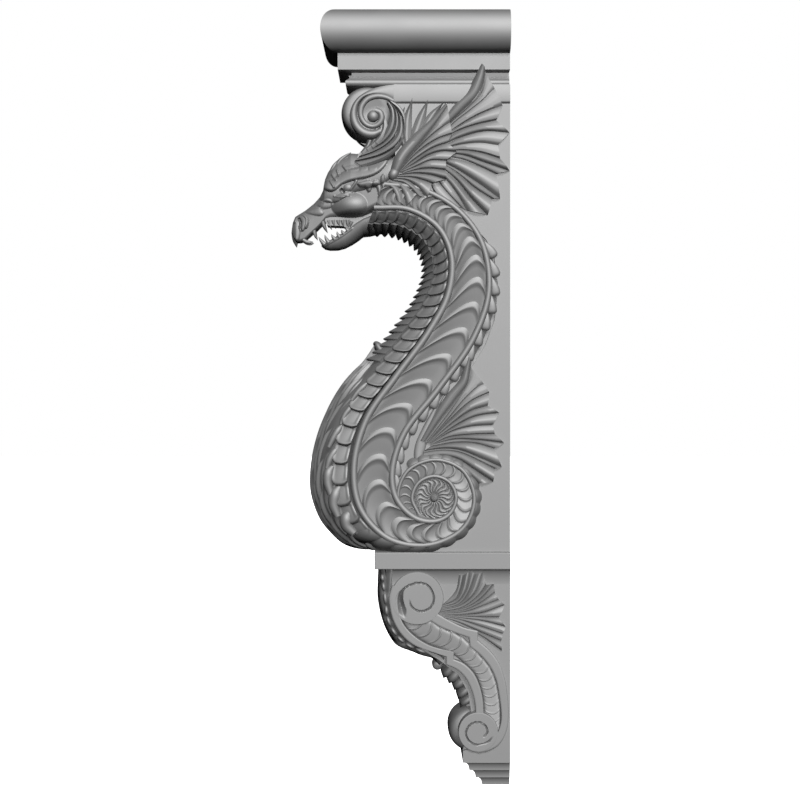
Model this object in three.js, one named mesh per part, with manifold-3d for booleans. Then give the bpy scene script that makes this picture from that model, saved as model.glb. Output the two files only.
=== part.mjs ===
import * as THREE from 'three';
import { mergeVertices } from 'three/addons/utils/BufferGeometryUtils.js';
import Module from 'manifold-3d';

// A carved wooden wall bracket: a crown moulding, a sea dragon in the round front of a backboard,
// a plain ledge, and a scrolled console that ends in a moulded foot.
// Millimetres. +Z is up, the wall is the plane x = 0, the front looks along -X, y = 0 is the middle.

// Crown moulding, mitred round three sides
const crownReach = 222;
const crownWidth = 79.5;
const torusHeight = 56;
const torusBulge = 21.5;
const fasciaHeight = 21.5;
const quirkHeight = 4.5;
const quirkDepth = 17.5;
const beadHeight = 10;
const beadDepth = 9.5;
const filletHeight = 4.5;
const filletDepth = 15;

// Dragon block: the carving keeps its proportions to this height
const dragonHeight = 601;
const panelWidth = 84;
const friezeHeight = 24.5;
const friezeWidth = 88;
const bodyWidth = 100;
const railRadius = 3.5;
const scaleLift = 4;
const scuteLift = 3.5;

// Ledge board
const ledgeReach = 174.5;
const ledgeWidth = 100;
const ledgeThickness = 21.5;

// Scrolled console: its carving keeps its proportions to this height
const consoleHeight = 249;
const consoleWidth = 88;
const bandWidth = 99;
const consoleScaleLift = 2.5;
const blockReach = 61;
const blockHeight = 16;

// Foot: three coves that step back one under another
const coveCount = 3;
const coveHeight = 10.5;
const coveDepth = 8.5;
const coveSideShare = 0.55;

// The glue line that is left between one piece and the next
const glueLine = 0.3;

// The heights that the two carvings are drawn at
const drawnDragon = 601.5;
const drawnConsole = 249.5;

// Detail smaller than this is smoothed out of a carving before it is cut to its block
const smallest = 1.15;

// Edges shorter than this are closed up in a finished solid, so that no face is a sliver
const finest = 0.02;

const wasm = await Module();
wasm.setup();

const lerp = THREE.MathUtils.lerp;
const vec = (x, y, z) => new THREE.Vector3(x, y, z);
const flat = (pairs, y = 0) => pairs.map(([x, z]) => vec(x, y, z));
const smooth = (points) => new THREE.CatmullRomCurve3(points, false, 'centripetal');
const range = (count) => Array.from({ length: count }, (unused, k) => k);

// Makes a solid of points and triangles, turned so that its faces point out
function solidOf(points, index) {
  const geometry = new THREE.BufferGeometry().setFromPoints(points);
  geometry.setIndex(index);
  return solidFrom(geometry);
}

function solidFrom(geometry) {
  const bare = geometry.clone();
  bare.deleteAttribute('normal');
  bare.deleteAttribute('uv');
  const merged = mergeVertices(bare, 1e-4);
  const position = merged.attributes.position;
  const corner = range(3).map(() => new THREE.Vector3());
  const triangles = [];
  let volume = 0;
  for (let i = 0; i < merged.index.count; i += 3) {
    const ids = range(3).map((k) => merged.index.getX(i + k));
    if (new Set(ids).size < 3) continue;
    triangles.push(ids);
    ids.forEach((id, k) => corner[k].fromBufferAttribute(position, id));
    volume += corner[0].dot(corner[1].clone().cross(corner[2]));
  }
  const turned = triangles.map(([a, b, c]) => (volume < 0 ? [a, c, b] : [a, b, c]));
  return new wasm.Manifold(new wasm.Mesh({
    numProp: 3,
    vertProperties: new Float32Array(position.array),
    triVerts: new Uint32Array(turned.flat()),
  }));
}

// A closed solid through rings of points, each end closed about its middle
function loft(rings) {
  const sides = rings[0].length;
  const points = rings.flat();
  const index = [];
  for (let r = 0; r < rings.length - 1; r += 1) {
    for (let k = 0; k < sides; k += 1) {
      const a = r * sides + k;
      const b = r * sides + ((k + 1) % sides);
      index.push(a, b, b + sides, a, b + sides, a + sides);
    }
  }
  [0, rings.length - 1].forEach((r) => {
    const middle = new THREE.Vector3();
    rings[r].forEach((p) => middle.addScaledVector(p, 1 / sides));
    points.push(middle);
    const hub = points.length - 1;
    for (let k = 0; k < sides; k += 1) {
      const a = r * sides + k;
      const b = r * sides + ((k + 1) % sides);
      index.push(...(r === 0 ? [hub, b, a] : [hub, a, b]));
    }
  });
  return solidOf(points, index);
}

// An outline of [x, z] points, cut straight through from y = back to y = face
function prism(outline, back, face) {
  const shape = new THREE.Shape(outline.map(([x, z]) => new THREE.Vector2(x, z)));
  const geometry = new THREE.ExtrudeGeometry(shape, { depth: Math.abs(face - back), bevelEnabled: false });
  geometry.rotateX(Math.PI / 2);
  geometry.translate(0, Math.max(face, back), 0);
  return solidFrom(geometry);
}

// A round bar across the bracket, with its middle at [x, z]
function roll([x, z], radius, back, face, sides = 20) {
  const geometry = new THREE.CylinderGeometry(radius, radius, Math.abs(face - back), sides);
  geometry.translate(x, (face + back) / 2, z);
  return solidFrom(geometry);
}

// A tapering strand along a curve, wide across its path and flattened towards the backboard
function strand(points, radii, { sides = 5, steps = 6, flatness = 1 } = {}) {
  const curve = smooth(points);
  const rings = range(steps + 1).map((k) => {
    const t = k / steps;
    const at = curve.getPoint(t);
    const along = curve.getTangent(t);
    const across = along.clone().cross(vec(0, 1, 0)).normalize();
    const out = across.clone().cross(along);
    const place = t * (radii.length - 1);
    const low = Math.min(Math.floor(place), radii.length - 2);
    const radius = lerp(radii[low], radii[low + 1], place - low);
    return range(sides).map((s) => {
      const turn = (2 * Math.PI * s) / sides;
      return at.clone()
        .addScaledVector(across, radius * Math.cos(turn))
        .addScaledVector(out, radius * flatness * Math.sin(turn));
    });
  });
  return loft(rings);
}

// A pleated fin: ribs spread from a root to their tips, with a scalloped edge and flutes between
function fin(side, { root, tips, rootFace, edgeFace, back, bend, notch, flutes, ridge }) {
  const rays = [];
  tips.slice(1).forEach((tip, cell) => {
    const count = 2 * flutes;
    range(count + (cell === tips.length - 2 ? 1 : 0)).forEach((k) => {
      const share = k / count;
      const end = new THREE.Vector2(...tips[cell]).lerp(new THREE.Vector2(...tip), share);
      end.lerp(new THREE.Vector2(...root), notch * Math.sin(Math.PI * share));
      rays.push({ end, crest: k % count ? (k % 2 ? -1 : 0.7) : 1.6 });
    });
  });
  const shares = [0.05, 0.5, 1];
  const grid = shares.map((r) => rays.map(({ end, crest }, k) => {
    const reach = end.clone().sub(new THREE.Vector2(...root));
    const sway = bend * Math.sin(Math.PI * r) * (1 - k / (rays.length - 1) * 0.5);
    const x = root[0] + reach.x * r - reach.y * sway;
    const z = root[1] + reach.y * r + reach.x * sway;
    return [x, z, lerp(rootFace, edgeFace, r) + crest * ridge * r];
  }));
  const front = grid.map((row) => row.map(([x, z, face]) => vec(x, side * face, z)));
  const rear = grid.map((row) => row.map(([x, z]) => vec(x, side * back, z)));
  return loft(front.map((row, r) => [...row, ...rear[r].toReversed()]));
}

// Runs along two lines at once and measures the way between them
function ribbon(outer, inner) {
  const steps = 240;
  const middle = (t) => outer.getPoint(t).lerp(inner.getPoint(t), 0.5);
  const lengths = [0];
  for (let k = 1; k <= steps; k += 1) {
    lengths.push(lengths[k - 1] + middle(k / steps).distanceTo(middle((k - 1) / steps)));
  }
  const shareAt = (length) => {
    const k = THREE.MathUtils.clamp(lengths.findIndex((l) => l > length), 1, steps);
    const rest = length >= lengths[steps] ? 1 : (length - lengths[k - 1]) / (lengths[k] - lengths[k - 1]);
    return THREE.MathUtils.clamp((k - 1 + rest) / steps, 0, 1);
  };
  return {
    length: lengths[steps],
    shareAt,
    width: (length) => outer.getPoint(shareAt(length)).distanceTo(inner.getPoint(shareAt(length))),
    at: (length, across) => {
      const t = shareAt(length);
      return outer.getPoint(t).lerp(inner.getPoint(t), across);
    },
  };
}

// Where scales start along a ribbon, each a share of the width there after the last
function scaleStarts(path, from, to, share) {
  const starts = [];
  for (let s = from; s < to; s += path.width(s) * share(path.width(s))) starts.push(s);
  return starts;
}

// Rings of a ribbon of overlapping scales, each with a rounded tip and a bevel behind it.
// The faces of both sides run in one ring, so that the ribbon is one solid.
function scaledRings(path, starts, { halfWidth, lift, tipDepth, bevel, rail, foot, sense = 1 }) {
  const spots = [-1, -0.66, 0, 0.66, 1];
  return starts.flatMap((start) => [false, true].map((crest) => {
    const width = path.width(start);
    const face = spots.map((spot) => {
      const inset = crest && Math.abs(spot) < 1 ? 0.84 : 1;
      const dip = tipDepth * width * (1 - Math.sqrt(1 - spot * spot));
      const s = start + sense * (dip + (crest ? bevel * width : 0));
      const p = path.at(s, 0.5 + 0.5 * spot * inset);
      return [p, halfWidth + (crest && Math.abs(spot) < 1 ? lift * Math.min(1, width / 40) : 0)];
    });
    if (rail > 0) {
      const s = start + sense * tipDepth * width + (crest ? bevel * width : 0);
      const share = rail / path.width(s);
      face.unshift([path.at(s, -share), halfWidth + rail]);
      face.push([path.at(s, 1 + share), halfWidth + rail], [path.at(s, 1 + 2.4 * share), foot]);
    }
    const near = face.map(([p, y]) => vec(p.x, -y, p.z));
    const far = face.map(([p, y]) => vec(p.x, y, p.z)).reverse();
    return [...near, ...far];
  }));
}

// Rectangle rings of a moulding that returns round three sides and dies into the wall
function mouldingRings(steps, reach, width, sideShare = 1) {
  return steps.map(([z, out]) => {
    const half = width / 2 + out * sideShare;
    return [
      vec(0, -half, z), vec(-reach - out, -half, z), vec(-reach - out, half, z), vec(0, half, z),
    ];
  });
}

const joined = (solids) => wasm.Manifold.union(solids);

const smoothed = (solid) => solid.asOriginal().simplify(smallest);

function welded(solid) {
  const { vertProperties, triVerts } = solid.asOriginal().simplify(2 * finest).getMesh();
  const pointAt = (id) => vec(...vertProperties.slice(3 * id, 3 * id + 3));
  const points = range(vertProperties.length / 3).map(pointAt);
  const owner = points.map((unused, id) => id);
  const keeper = (id) => (owner[id] === id ? id : keeper(owner[id]));
  triVerts.forEach((id, k) => {
    const start = keeper(id);
    const end = keeper(triVerts[k % 3 === 2 ? k - 2 : k + 1]);
    if (points[start].distanceTo(points[end]) < finest) owner[end] = start;
  });
  return solidOf(points.map((unused, id) => points[keeper(id)]), Array.from(triVerts));
}

// The one outer skin of a solid: pockets that are sealed between overlapping forms are filled
const filled = (solid) => solid.decompose().reduce((a, b) => (b.volume() > a.volume() ? b : a));
const sides = [-1, 1];
const bothSides = (make) => sides.flatMap((side) => make(side));

function buildCrown() {
  const filletTop = beadHeight + filletHeight;
  const fasciaFoot = filletTop + quirkHeight;
  const fasciaTop = fasciaFoot + fasciaHeight;
  const steps = range(5).map((k) => {
    const turn = Math.PI * (k / 4 - 0.5);
    return [(beadHeight / 2) * (1 + Math.sin(turn)), lerp(-filletDepth, -beadDepth, Math.cos(turn))];
  });
  steps.push([filletTop, -filletDepth], [filletTop, -quirkDepth]);
  steps.push([fasciaFoot, -quirkDepth], [fasciaFoot, 0]);
  range(11).forEach((k) => {
    const turn = Math.PI * (k / 10 - 0.5);
    steps.push([fasciaTop + (torusHeight / 2) * (1 + Math.sin(turn)), torusBulge * Math.cos(turn)]);
  });
  return loft(mouldingRings(steps, crownReach, crownWidth));
}

// The dragon, drawn on a block 601.5 high: [outer rail x, z, inner rail x, z, reach of the front]
const bodyStations = [
  [-175, 442, -162, 472, 26], [-131, 440, -116, 466, 29], [-93, 417, -69, 440, 31],
  [-76, 380, -37, 397, 33], [-80, 331, -28, 335, 38], [-106, 281, -48, 274, 41],
  [-148, 224, -94, 208, 41], [-185, 170, -137, 152, 47], [-201, 108, -152, 102, 51],
  [-192, 55, -146, 68, 44], [-155, 17, -122, 44, 21], [-103, 10, -96, 40, 12],
];
const coil = { x: -98, z: 69.4, ring: 28.2, outer: [53.3, 51.5, 51, 49.3, 48.7, 46, 38], reach: 10 };

function coilPoint(turn, radius) {
  return [coil.x + radius * Math.sin(turn), coil.z - radius * Math.cos(turn)];
}

function bodyLines() {
  const turns = coil.outer.map((radius, k) => [(Math.PI / 4) * (k + 1), radius]);
  const outer = bodyStations.map(([x, z]) => [x, z]).concat(turns.map(([a, r]) => coilPoint(a, r)));
  const innerTurns = turns.map(([a]) => coilPoint(a, coil.ring));
  const inner = bodyStations.map((row) => [row[2], row[3]]).concat(innerTurns);
  const reaches = bodyStations.map((row) => row[4]).concat(turns.map(() => coil.reach));
  const path = ribbon(smooth(flat(outer)), smooth(flat(inner)));
  const reachLine = smooth(reaches.map((reach, k) => vec(k * 50, reach, 0)));
  const reachAt = (s) => reachLine.getPoint(path.shareAt(s)).y;
  return { path, reachAt };
}

// A point on the round front of the body: angle 0 is at the outer rail and 90 at the middle
function frontPoint({ path, reachAt }, s, degrees, side, lift) {
  const edge = path.at(s, 0);
  const out = edge.clone().sub(path.at(s, 1)).normalize();
  const angle = THREE.MathUtils.degToRad(degrees);
  const p = edge.addScaledVector(out, (reachAt(s) + lift) * Math.sin(angle));
  return vec(p.x, side * (bodyWidth / 2 - 3 + lift) * Math.cos(angle), p.z);
}

// The rounded front with its rows of overlapping side scutes. Each [angle, share of the scute's
// height] of the profile runs along the body, and the keel is the last of them, at the middle.
function frontSolid(body, from, to, pitches, profile) {
  const { path } = body;
  const rings = [];
  let s = from;
  while (s < to) {
    const pitch = THREE.MathUtils.clamp(path.width(s) * 0.4, ...pitches);
    [[0, 0], [0.9, scuteLift]].forEach(([part, lift]) => {
      const at = s + part * pitch;
      const half = (side) => profile.map(([angle, share]) => frontPoint(body, at, angle, side, share * lift));
      const deep = path.at(at, 0.3);
      const rim = bodyWidth / 2 - 5;
      const keel = half(-1).pop();
      rings.push([
        vec(deep.x, -rim, deep.z), ...half(-1).slice(0, -1), keel, ...half(1).slice(0, -1).reverse(),
        vec(deep.x, rim, deep.z),
      ]);
    });
    s += pitch;
  }
  return loft(rings);
}

function bodySolids() {
  const body = bodyLines();
  const { path } = body;
  const share = (width) => 0.68 + 0.08 * THREE.MathUtils.smoothstep(width, 30, 46);
  const starts = scaleStarts(path, 2, path.length - 14, share);
  const look = {
    halfWidth: bodyWidth / 2, lift: scaleLift, tipDepth: 0.5, bevel: 0.13,
    rail: railRadius, foot: panelWidth / 2 - 1,
  };
  const rings = scaledRings(path, starts, look);
  const tailShare = 11 / (bodyStations.length + coil.outer.length - 1);
  const split = 2 * starts.findIndex((s) => path.shareAt(s) > tailShare);
  const leafFrom = path.length * 0.4;
  const tailFrom = starts[split / 2];
  const neck = [[13, 1], [42, 1], [50, -0.3], [68, 1.6], [90, 1.8]];
  const belly = [[13, 1], [42, 1], [60, 0], [90, 0]];
  const tail = [[13, 1], [55, 1], [90, 1]];
  return {
    body,
    solids: [
      loft(rings.slice(0, split + 2)),
      loft(rings.slice(split)),
      frontSolid(body, 8, leafFrom, [13, 16], neck),
      frontSolid(body, leafFrom - 12, tailFrom + 12, [17, 20], belly),
      frontSolid(body, tailFrom, tailFrom + 150, [14, 18], tail),
    ],
  };
}

// The curled leaf on the belly: a long midrib with lobes that flick out to each side
function leafSolids(body) {
  const { path } = body;
  const top = path.length * 0.345;
  const bottom = path.length * 0.69;
  const spine = range(9).map((k) => frontPoint(body, lerp(top + 10, bottom, k / 8), 90, -1, 1));
  const tip = spine[0].clone().add(vec(-7, 0, 14));
  const solids = [strand([tip, ...spine], [2, 7, 9, 9, 9, 9, 7, 4], { steps: 9, sides: 5, flatness: 1.6 })];
  const lobes = 5;
  const lobeSolids = bothSides((side) => range(lobes).map((k) => {
    const end = lerp(top + 14, bottom - 52, k / (lobes - 1));
    const route = [[end + 58, 84], [end + 36, 70], [end + 15, 56], [end, 44]];
    const points = route.map(([s, angle]) => frontPoint(body, Math.min(s, bottom), angle, side, 2));
    return strand(points, [3, 8, 8, 1], { steps: 3, sides: 4, flatness: 0.8 });
  }));
  return solids.concat(lobeSolids);
}

// A disc of swirled petals with a round boss, in the eye of the coil
function rosetteSolid(side) {
  const petals = 12;
  const face = bodyWidth / 2 - 5;
  const rows = [[1, -9, 0], [1, -2, 1.8], [0.55, -1, 1.6], [0.1, 3, 0]];
  return loft(rows.map(([reach, rise, fold]) => range(2 * petals).map((k) => {
    const swirl = 0.5 * reach * reach;
    const [x, z] = coilPoint((Math.PI * k) / petals + swirl, coil.ring * reach);
    return vec(x, side * (face + rise + (k % 2 ? fold : -fold)), z);
  })));
}

// Elliptical sections of a jaw from [x, top, bottom, half width] stations
function jaw(stations, sides, squareness) {
  return loft(stations.map(([x, top, bottom, half]) => range(sides).map((k) => {
    const turn = (2 * Math.PI * (k + 0.5)) / sides;
    const bulge = (value) => Math.sign(value) * Math.abs(value) ** squareness;
    const z = (top + bottom) / 2 + ((top - bottom) / 2) * bulge(Math.sin(turn));
    return vec(x, half * bulge(Math.cos(turn)), z);
  })));
}

function headSolids() {
  const upper = [
    [-157, 510, 436, 32], [-174, 512, 434, 33], [-191, 514, 434, 33], [-207, 513, 432, 29],
    [-220, 504, 431, 24], [-233, 489, 430, 20], [-244, 469, 424, 17], [-254, 455, 416, 15],
    [-265, 444, 407, 13], [-274, 440, 405, 10],
  ];
  const lower = [
    [-158, 444, 413, 27], [-178, 438, 412, 26], [-191, 430, 409, 25], [-204, 423, 399, 22],
    [-215, 414, 394, 18], [-225, 407, 391, 16], [-236, 402, 392, 13], [-244, 398, 395, 6],
  ];
  const solids = [jaw(upper, 8, 0.8), jaw(lower, 8, 0.8)];
  const beak = flat([[-270, 437], [-278, 437], [-282, 424], [-281, 410], [-278, 397]]);
  solids.push(strand(beak, [8, 7, 5, 3, 0.6], { steps: 5, sides: 5, flatness: 1.2 }));
  sides.forEach((side) => {
    const brow = [
      [-243, 471, 14], [-232, 472, 19], [-220, 480, 23], [-200, 486, 29], [-180, 490, 33],
      [-160, 502, 34],
    ];
    const browLine = brow.map(([x, z, y]) => vec(x, side * y, z));
    solids.push(strand(browLine, [2, 5, 6, 6, 6, 2], { steps: 5, sides: 5 }));
    const ball = new THREE.SphereGeometry(8.5, 8, 5);
    ball.translate(-210, side * 21, 471);
    solids.push(solidFrom(ball));
    const cheek = new THREE.SphereGeometry(1, 7, 5);
    cheek.scale(24, 10, 18);
    cheek.translate(-202, side * 26, 452);
    solids.push(solidFrom(cheek));
    const nostril = flat([[-273, 440], [-265, 437], [-262, 430], [-266, 422]], side * 10);
    solids.push(strand(nostril, [2, 3.5, 4, 2], { steps: 3, sides: 4 }));
    const frills = [[-192, 476, -178, 463, 31], [-174, 480, -164, 463, 34]];
    frills.forEach(([x0, z0, x1, z1, y]) => {
      const bend = vec((x0 + x1) / 2 + 4, side * (y + 4), (z0 + z1) / 2 + 3);
      const route = [vec(x0, side * y, z0), bend, vec(x1, side * (y + 3), z1)];
      solids.push(strand(route, [3, 6, 1], { steps: 2, sides: 4 }));
    });
    const fangs = [
      [-243, 429, -238, 415, 15, 2.8], [-254, 417, -251, 406, 13, 2.8], [-231, 432, -228, 420, 18, 2.6],
      [-219, 433, -216, 422, 20, 2.6], [-241, 398, -247, 410, 11, 2.6], [-233, 402, -239, 412, 13, 2.6],
      [-223, 408, -227, 417, 16, 2.6],
    ];
    fangs.forEach(([x0, z0, x1, z1, y, thick]) => {
      const line = [vec(x0, side * (y - 2), z0), vec(x1, side * (y - 2), z1)];
      solids.push(strand(line, [thick, 0.3], { steps: 1, sides: 4 }));
    });
  });
  range(4).forEach((k) => {
    const x = lerp(-232, -200, k / 3);
    const z = [494, 505, 511, 513][k];
    const spike = flat([[x - 6, z - 5], [x + 8, z + 5]]);
    solids.push(strand(spike, [4, 0.6], { steps: 1, sides: 4, flatness: 1.5 }));
  });
  return solids;
}

// Locks that sweep back from the brow and up into the scroll, and the leaves behind them
function maneSolids(side) {
  const lock = (points, face, radii, steps = 4) => {
    return strand(flat(points, side * face), radii, { steps, sides: 4, flatness: 1.1 });
  };
  const long = [
    [[[-186, 499], [-167, 500], [-150, 511], [-139, 528], [-137, 545], [-143, 565], [-152, 578]],
      40, [5, 8, 8, 6, 3]],
    [[[-199, 508], [-178, 511], [-161, 516], [-148, 526], [-142, 540], [-143, 556], [-149, 571]],
      36, [4, 7, 7, 5, 3]],
    [[[-198, 515], [-180, 519], [-165, 525], [-155, 536], [-151, 550], [-152, 565], [-157, 576]],
      30, [4, 7, 6, 5, 3]],
  ];
  const solids = long.map(([points, face, radii]) => lock(points, face, radii));
  const leaves = [
    [[-133, 526], [-134, 555], [-126, 582]], [[-128, 531], [-117, 557], [-106, 580]],
    [[-120, 535], [-103, 560], [-87, 577]],
  ];
  leaves.forEach((points) => solids.push(lock(points, panelWidth / 2, [5, 8, 0.5], 2)));
  return solids;
}

// The scroll under the crown: a thick roll in the middle and a curled rim on each side
function scrollSolids() {
  const top = drawnDragon;
  const cheek = [
    [0, top - friezeHeight], [0, top], [-150, top], [-174, 597], [-190, 590], [-200, 579], [-206, 562],
    [-203, 549], [-196, 539], [-183, 534], [-170, 537], [-152, 545], [-140, 560], [-142, top - friezeHeight],
  ];
  const neck = [
    [-199, 510], [-191, 524], [-186, 540], [-140, 555], [-120, 520], [-140, 470], [-178, 490],
  ];
  const solids = [
    roll([-183, 567], 34, -35, 35, 22),
    prism([[-130, 545], [-130, top], [-206, top], [-190, 575]], -30, 30),
    prism(neck, -26, 26),
  ];
  const frieze = prism(cheek, -friezeWidth / 2, friezeWidth / 2);
  const hollows = bothSides((side) => [roll([-177, 560], 16, side * 34, side * 60, 14)]);
  solids.push(frieze.subtract(joined(hollows)));
  sides.forEach((side) => {
    const rim = range(22).map((k) => {
      const turn = (Math.PI / 6) * k;
      const radius = lerp(23, 5, Math.max(0, k - 4) / 17);
      const drift = Math.max(0, 6 - k) / 6;
      const x = -177 + radius * Math.cos(turn) + 14 * drift;
      const z = 560 + radius * Math.sin(turn) - 4 * drift;
      return vec(x, side * (friezeWidth / 2 - 1 - 0.2 * k), z);
    });
    solids.push(strand(rim, [4, 4, 4, 3.5, 5], { steps: 13, sides: 4 }));
  });
  return solids;
}

function finSolids() {
  const common = { back: panelWidth / 2 - 1.5, ridge: 1.6 };
  const ear = {
    ...common, root: [-153, 486], rootFace: 46, edgeFace: 56, bend: 0.1, notch: 0.07, flutes: 1,
    tips: [[-83, 576], [-74, 536], [-69, 513], [-83, 478], [-107, 453], [-134, 443], [-147, 452]],
  };
  const wing = {
    ...common, root: [-135, 497], rootFace: 44, edgeFace: 52, back: panelWidth / 2 + 1, bend: 0.08,
    notch: 0.09, flutes: 1,
    tips: [[-34, 628], [-11, 574], [-2, 540], [-2, 491], [-11, 454], [-29, 434], [-57, 440]],
  };
  const tail = {
    ...common, root: [-111, 129], rootFace: 46, edgeFace: 50, bend: 0.1, notch: 0.07, flutes: 1,
    tips: [[-55, 249], [-27, 206], [-15, 179], [-9, 141], [-11, 110], [-23, 91], [-42, 84]],
  };
  const plate = [[-135, 500], [-60, 590], [-12, 590], [-12, 470], [-100, 450]];
  const earSpar = [[-152, 478], [-150, 497], [-130, 520], [-105, 549], [-84, 574]];
  const wingSpar = [[-100, 545], [-75, 572], [-55, 590], [-43, 610], [-35, 629]];
  const solids = bothSides((side) => [
    fin(side, ear), fin(side, tail),
    strand(flat(earSpar, side * 50), [7, 8, 7, 5, 1], { steps: 4 }),
    prism(plate, side * (panelWidth / 2 - 2), side * (panelWidth / 2 + 1.5)),
  ]);
  const wings = bothSides((side) => [
    fin(side, wing),
    strand(flat(wingSpar, side * 50), [5, 6, 6, 5, 1], { steps: 4 }),
  ]);
  return { solids, wings };
}

function buildDragon() {
  const top = drawnDragon;
  const { body, solids } = bodySolids();
  const board = [
    [0, 0], [0, top - friezeHeight], [-148, top - friezeHeight], [-148, 472], [-102, 452], [-64, 420],
    [-50, 385], [-52, 333], [-76, 276], [-112, 222], [-150, 165], [-170, 105], [-160, 60],
    [-130, 20], [-105, 0],
  ];
  const fins = finSolids();
  const carving = joined([
    prism(board, -panelWidth / 2, panelWidth / 2),
    roll([coil.x, coil.z], coil.ring + 2, -bodyWidth / 2 + 14, bodyWidth / 2 - 14, 16),
    ...solids, ...leafSolids(body), ...headSolids(), ...scrollSolids(), ...fins.solids,
    ...bothSides((side) => [rosetteSolid(side)]), ...bothSides(maneSolids),
  ]);
  const overhang = -ledgeReach - 1;
  const room = [[0, 0], [0, top], [-400, top], [-400, -12], [overhang, -12], [overhang, 0]];
  const block = prism(room, -70, 70);
  const whole = smoothed(carving).intersect(block).add(joined(fins.wings));
  const wall = prism([[0, -50], [0, top + 100], [200, top + 100], [200, -50]], -100, 100);
  return filled(welded(whole.subtract(wall)));
}

function buildLedge() {
  const board = new THREE.BoxGeometry(ledgeReach, ledgeWidth, ledgeThickness);
  board.translate(-ledgeReach / 2, 0, ledgeThickness / 2);
  return solidFrom(board);
}

// A flat band of even face between two lines, proud of the console's cheek
function bandSolid(outer, inner, side) {
  return prism([...outer, ...inner.toReversed()], side * (consoleWidth / 2 - 3), side * (bandWidth / 2));
}

// A volute: a disc with one raised spiral fillet that winds in to the eye
function voluteSolids([x, z], radius, side, start) {
  const face = bandWidth / 2;
  const turns = 13;
  const spiral = (k, width) => {
    const turn = start - (2 * Math.PI * 1.45 * k) / turns;
    const reach = lerp(radius, radius * 0.3, k / turns) - width;
    return [x + reach * Math.cos(turn), z + reach * Math.sin(turn)];
  };
  const ends = range(turns + 1);
  const outline = [...ends.map((k) => spiral(k, 0)), ...ends.map((k) => spiral(turns - k, radius * 0.2))];
  return [
    roll([x, z], radius - 1, side * (consoleWidth / 2 - 3), side * (face - 1.5), 14),
    prism(outline, side * (face - 4), side * face),
  ];
}

function buildConsole() {
  const aOuter = [
    [-153, -26], [-156, -39], [-155, -49], [-151, -65], [-140, -83], [-126, -95], [-110, -103],
    [-90, -110], [-83, -112],
  ];
  const aInner = [[-143, -39], [-143, -54], [-137, -71], [-124, -85], [-106, -97], [-90, -102], [-73, -106]];
  const bOuter = [[-83, -122], [-69, -129], [-57, -140], [-49, -157], [-46, -174], [-45, -190]];
  const bInner = [[-73, -115], [-60, -121], [-47, -134], [-39, -151], [-35, -167], [-34, -188]];
  const cInner = [[-106, -63], [-90, -74], [-71, -81], [-53, -88]];
  const cOuter = [[-94, -56], [-78, -66], [-58, -75], [-42, -79]];
  const dInner = [
    [-52, -99], [-39, -110], [-26, -125], [-19, -142], [-15, -161], [-12, -180], [-12, -195],
    [-19, -212],
  ];
  const dOuter = [
    [-42, -90], [-26, -104], [-15, -120], [-7, -142], [-3, -167], [-3, -190], [-5, -209],
    [-14, -225], [-26, -233], [-42, -236],
  ];
  const blockTop = -drawnConsole + blockHeight;
  const cheek = [
    [0, 0], [0, -drawnConsole], [-blockReach, -drawnConsole], [-blockReach, blockTop],
    [-blockReach + 8, -205], [-50, -185], [-54, -160], [-66, -138], [-90, -119], [-126, -97], [-148, -72],
    [-155, -45], [-152, -22], [-158, 0],
  ];
  const solids = [prism(cheek, -consoleWidth / 2, consoleWidth / 2)];
  const channel = ribbon(
    smooth(flat([[-143, -39], [-137, -71], [-106, -96], [-73, -110], [-47, -134], [-36, -167], [-34, -200]])),
    smooth(flat([[-122, -50], [-106, -63], [-80, -79], [-52, -94], [-27, -124], [-15, -161], [-13, -203]])),
  );
  const starts = scaleStarts(channel, 8, channel.length - 4, () => 0.55);
  const look = {
    halfWidth: consoleWidth / 2 + 0.2, lift: consoleScaleLift, tipDepth: 0.4, bevel: -0.1, rail: 0,
    sense: -1,
  };
  solids.push(loft(scaledRings(channel, starts, look)));
  sides.forEach((side) => {
    solids.push(
      bandSolid(aOuter, aInner, side),
      bandSolid([[-94, -106], ...bOuter], [[-80, -104], ...bInner], side),
      bandSolid(cInner, cOuter, side), bandSolid([[-62, -84], ...dInner], [[-42, -79], ...dOuter], side),
      ...voluteSolids([-120, -37], 33.9, side, Math.PI), ...voluteSolids([-42, -209], 25.4, side, 0),
      fin(side, {
        root: [-94, -56], rootFace: 45, edgeFace: 48, back: consoleWidth / 2 - 2, bend: 0.12, notch: 0.05,
        flutes: 1, ridge: 1.5,
        tips: [[-66, -9], [-52, -2], [-37, -5], [-21, -20], [-10, -45], [-7, -74], [-11, -104]],
      }),
    );
  });
  solids.push(...consoleFront());
  const inside = prism([[0, -drawnConsole], [0, 0], [-250, 0], [-250, -drawnConsole]], -80, 80);
  const foot = [[-drawnConsole + 2, 0]];
  range(coveCount).forEach((k) => range(4).forEach((n) => {
    const turn = (Math.PI / 2) * (n / 3);
    const z = -drawnConsole - coveHeight * (k + 1 - Math.cos(turn));
    foot.push([z, -coveDepth * (k + lerp(0.1, 1, Math.sin(turn)))]);
  }));
  const carving = smoothed(joined(solids)).intersect(inside);
  const coves = loft(mouldingRings(foot, blockReach, consoleWidth, coveSideShare));
  return filled(welded(carving.add(coves)));
}

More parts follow.
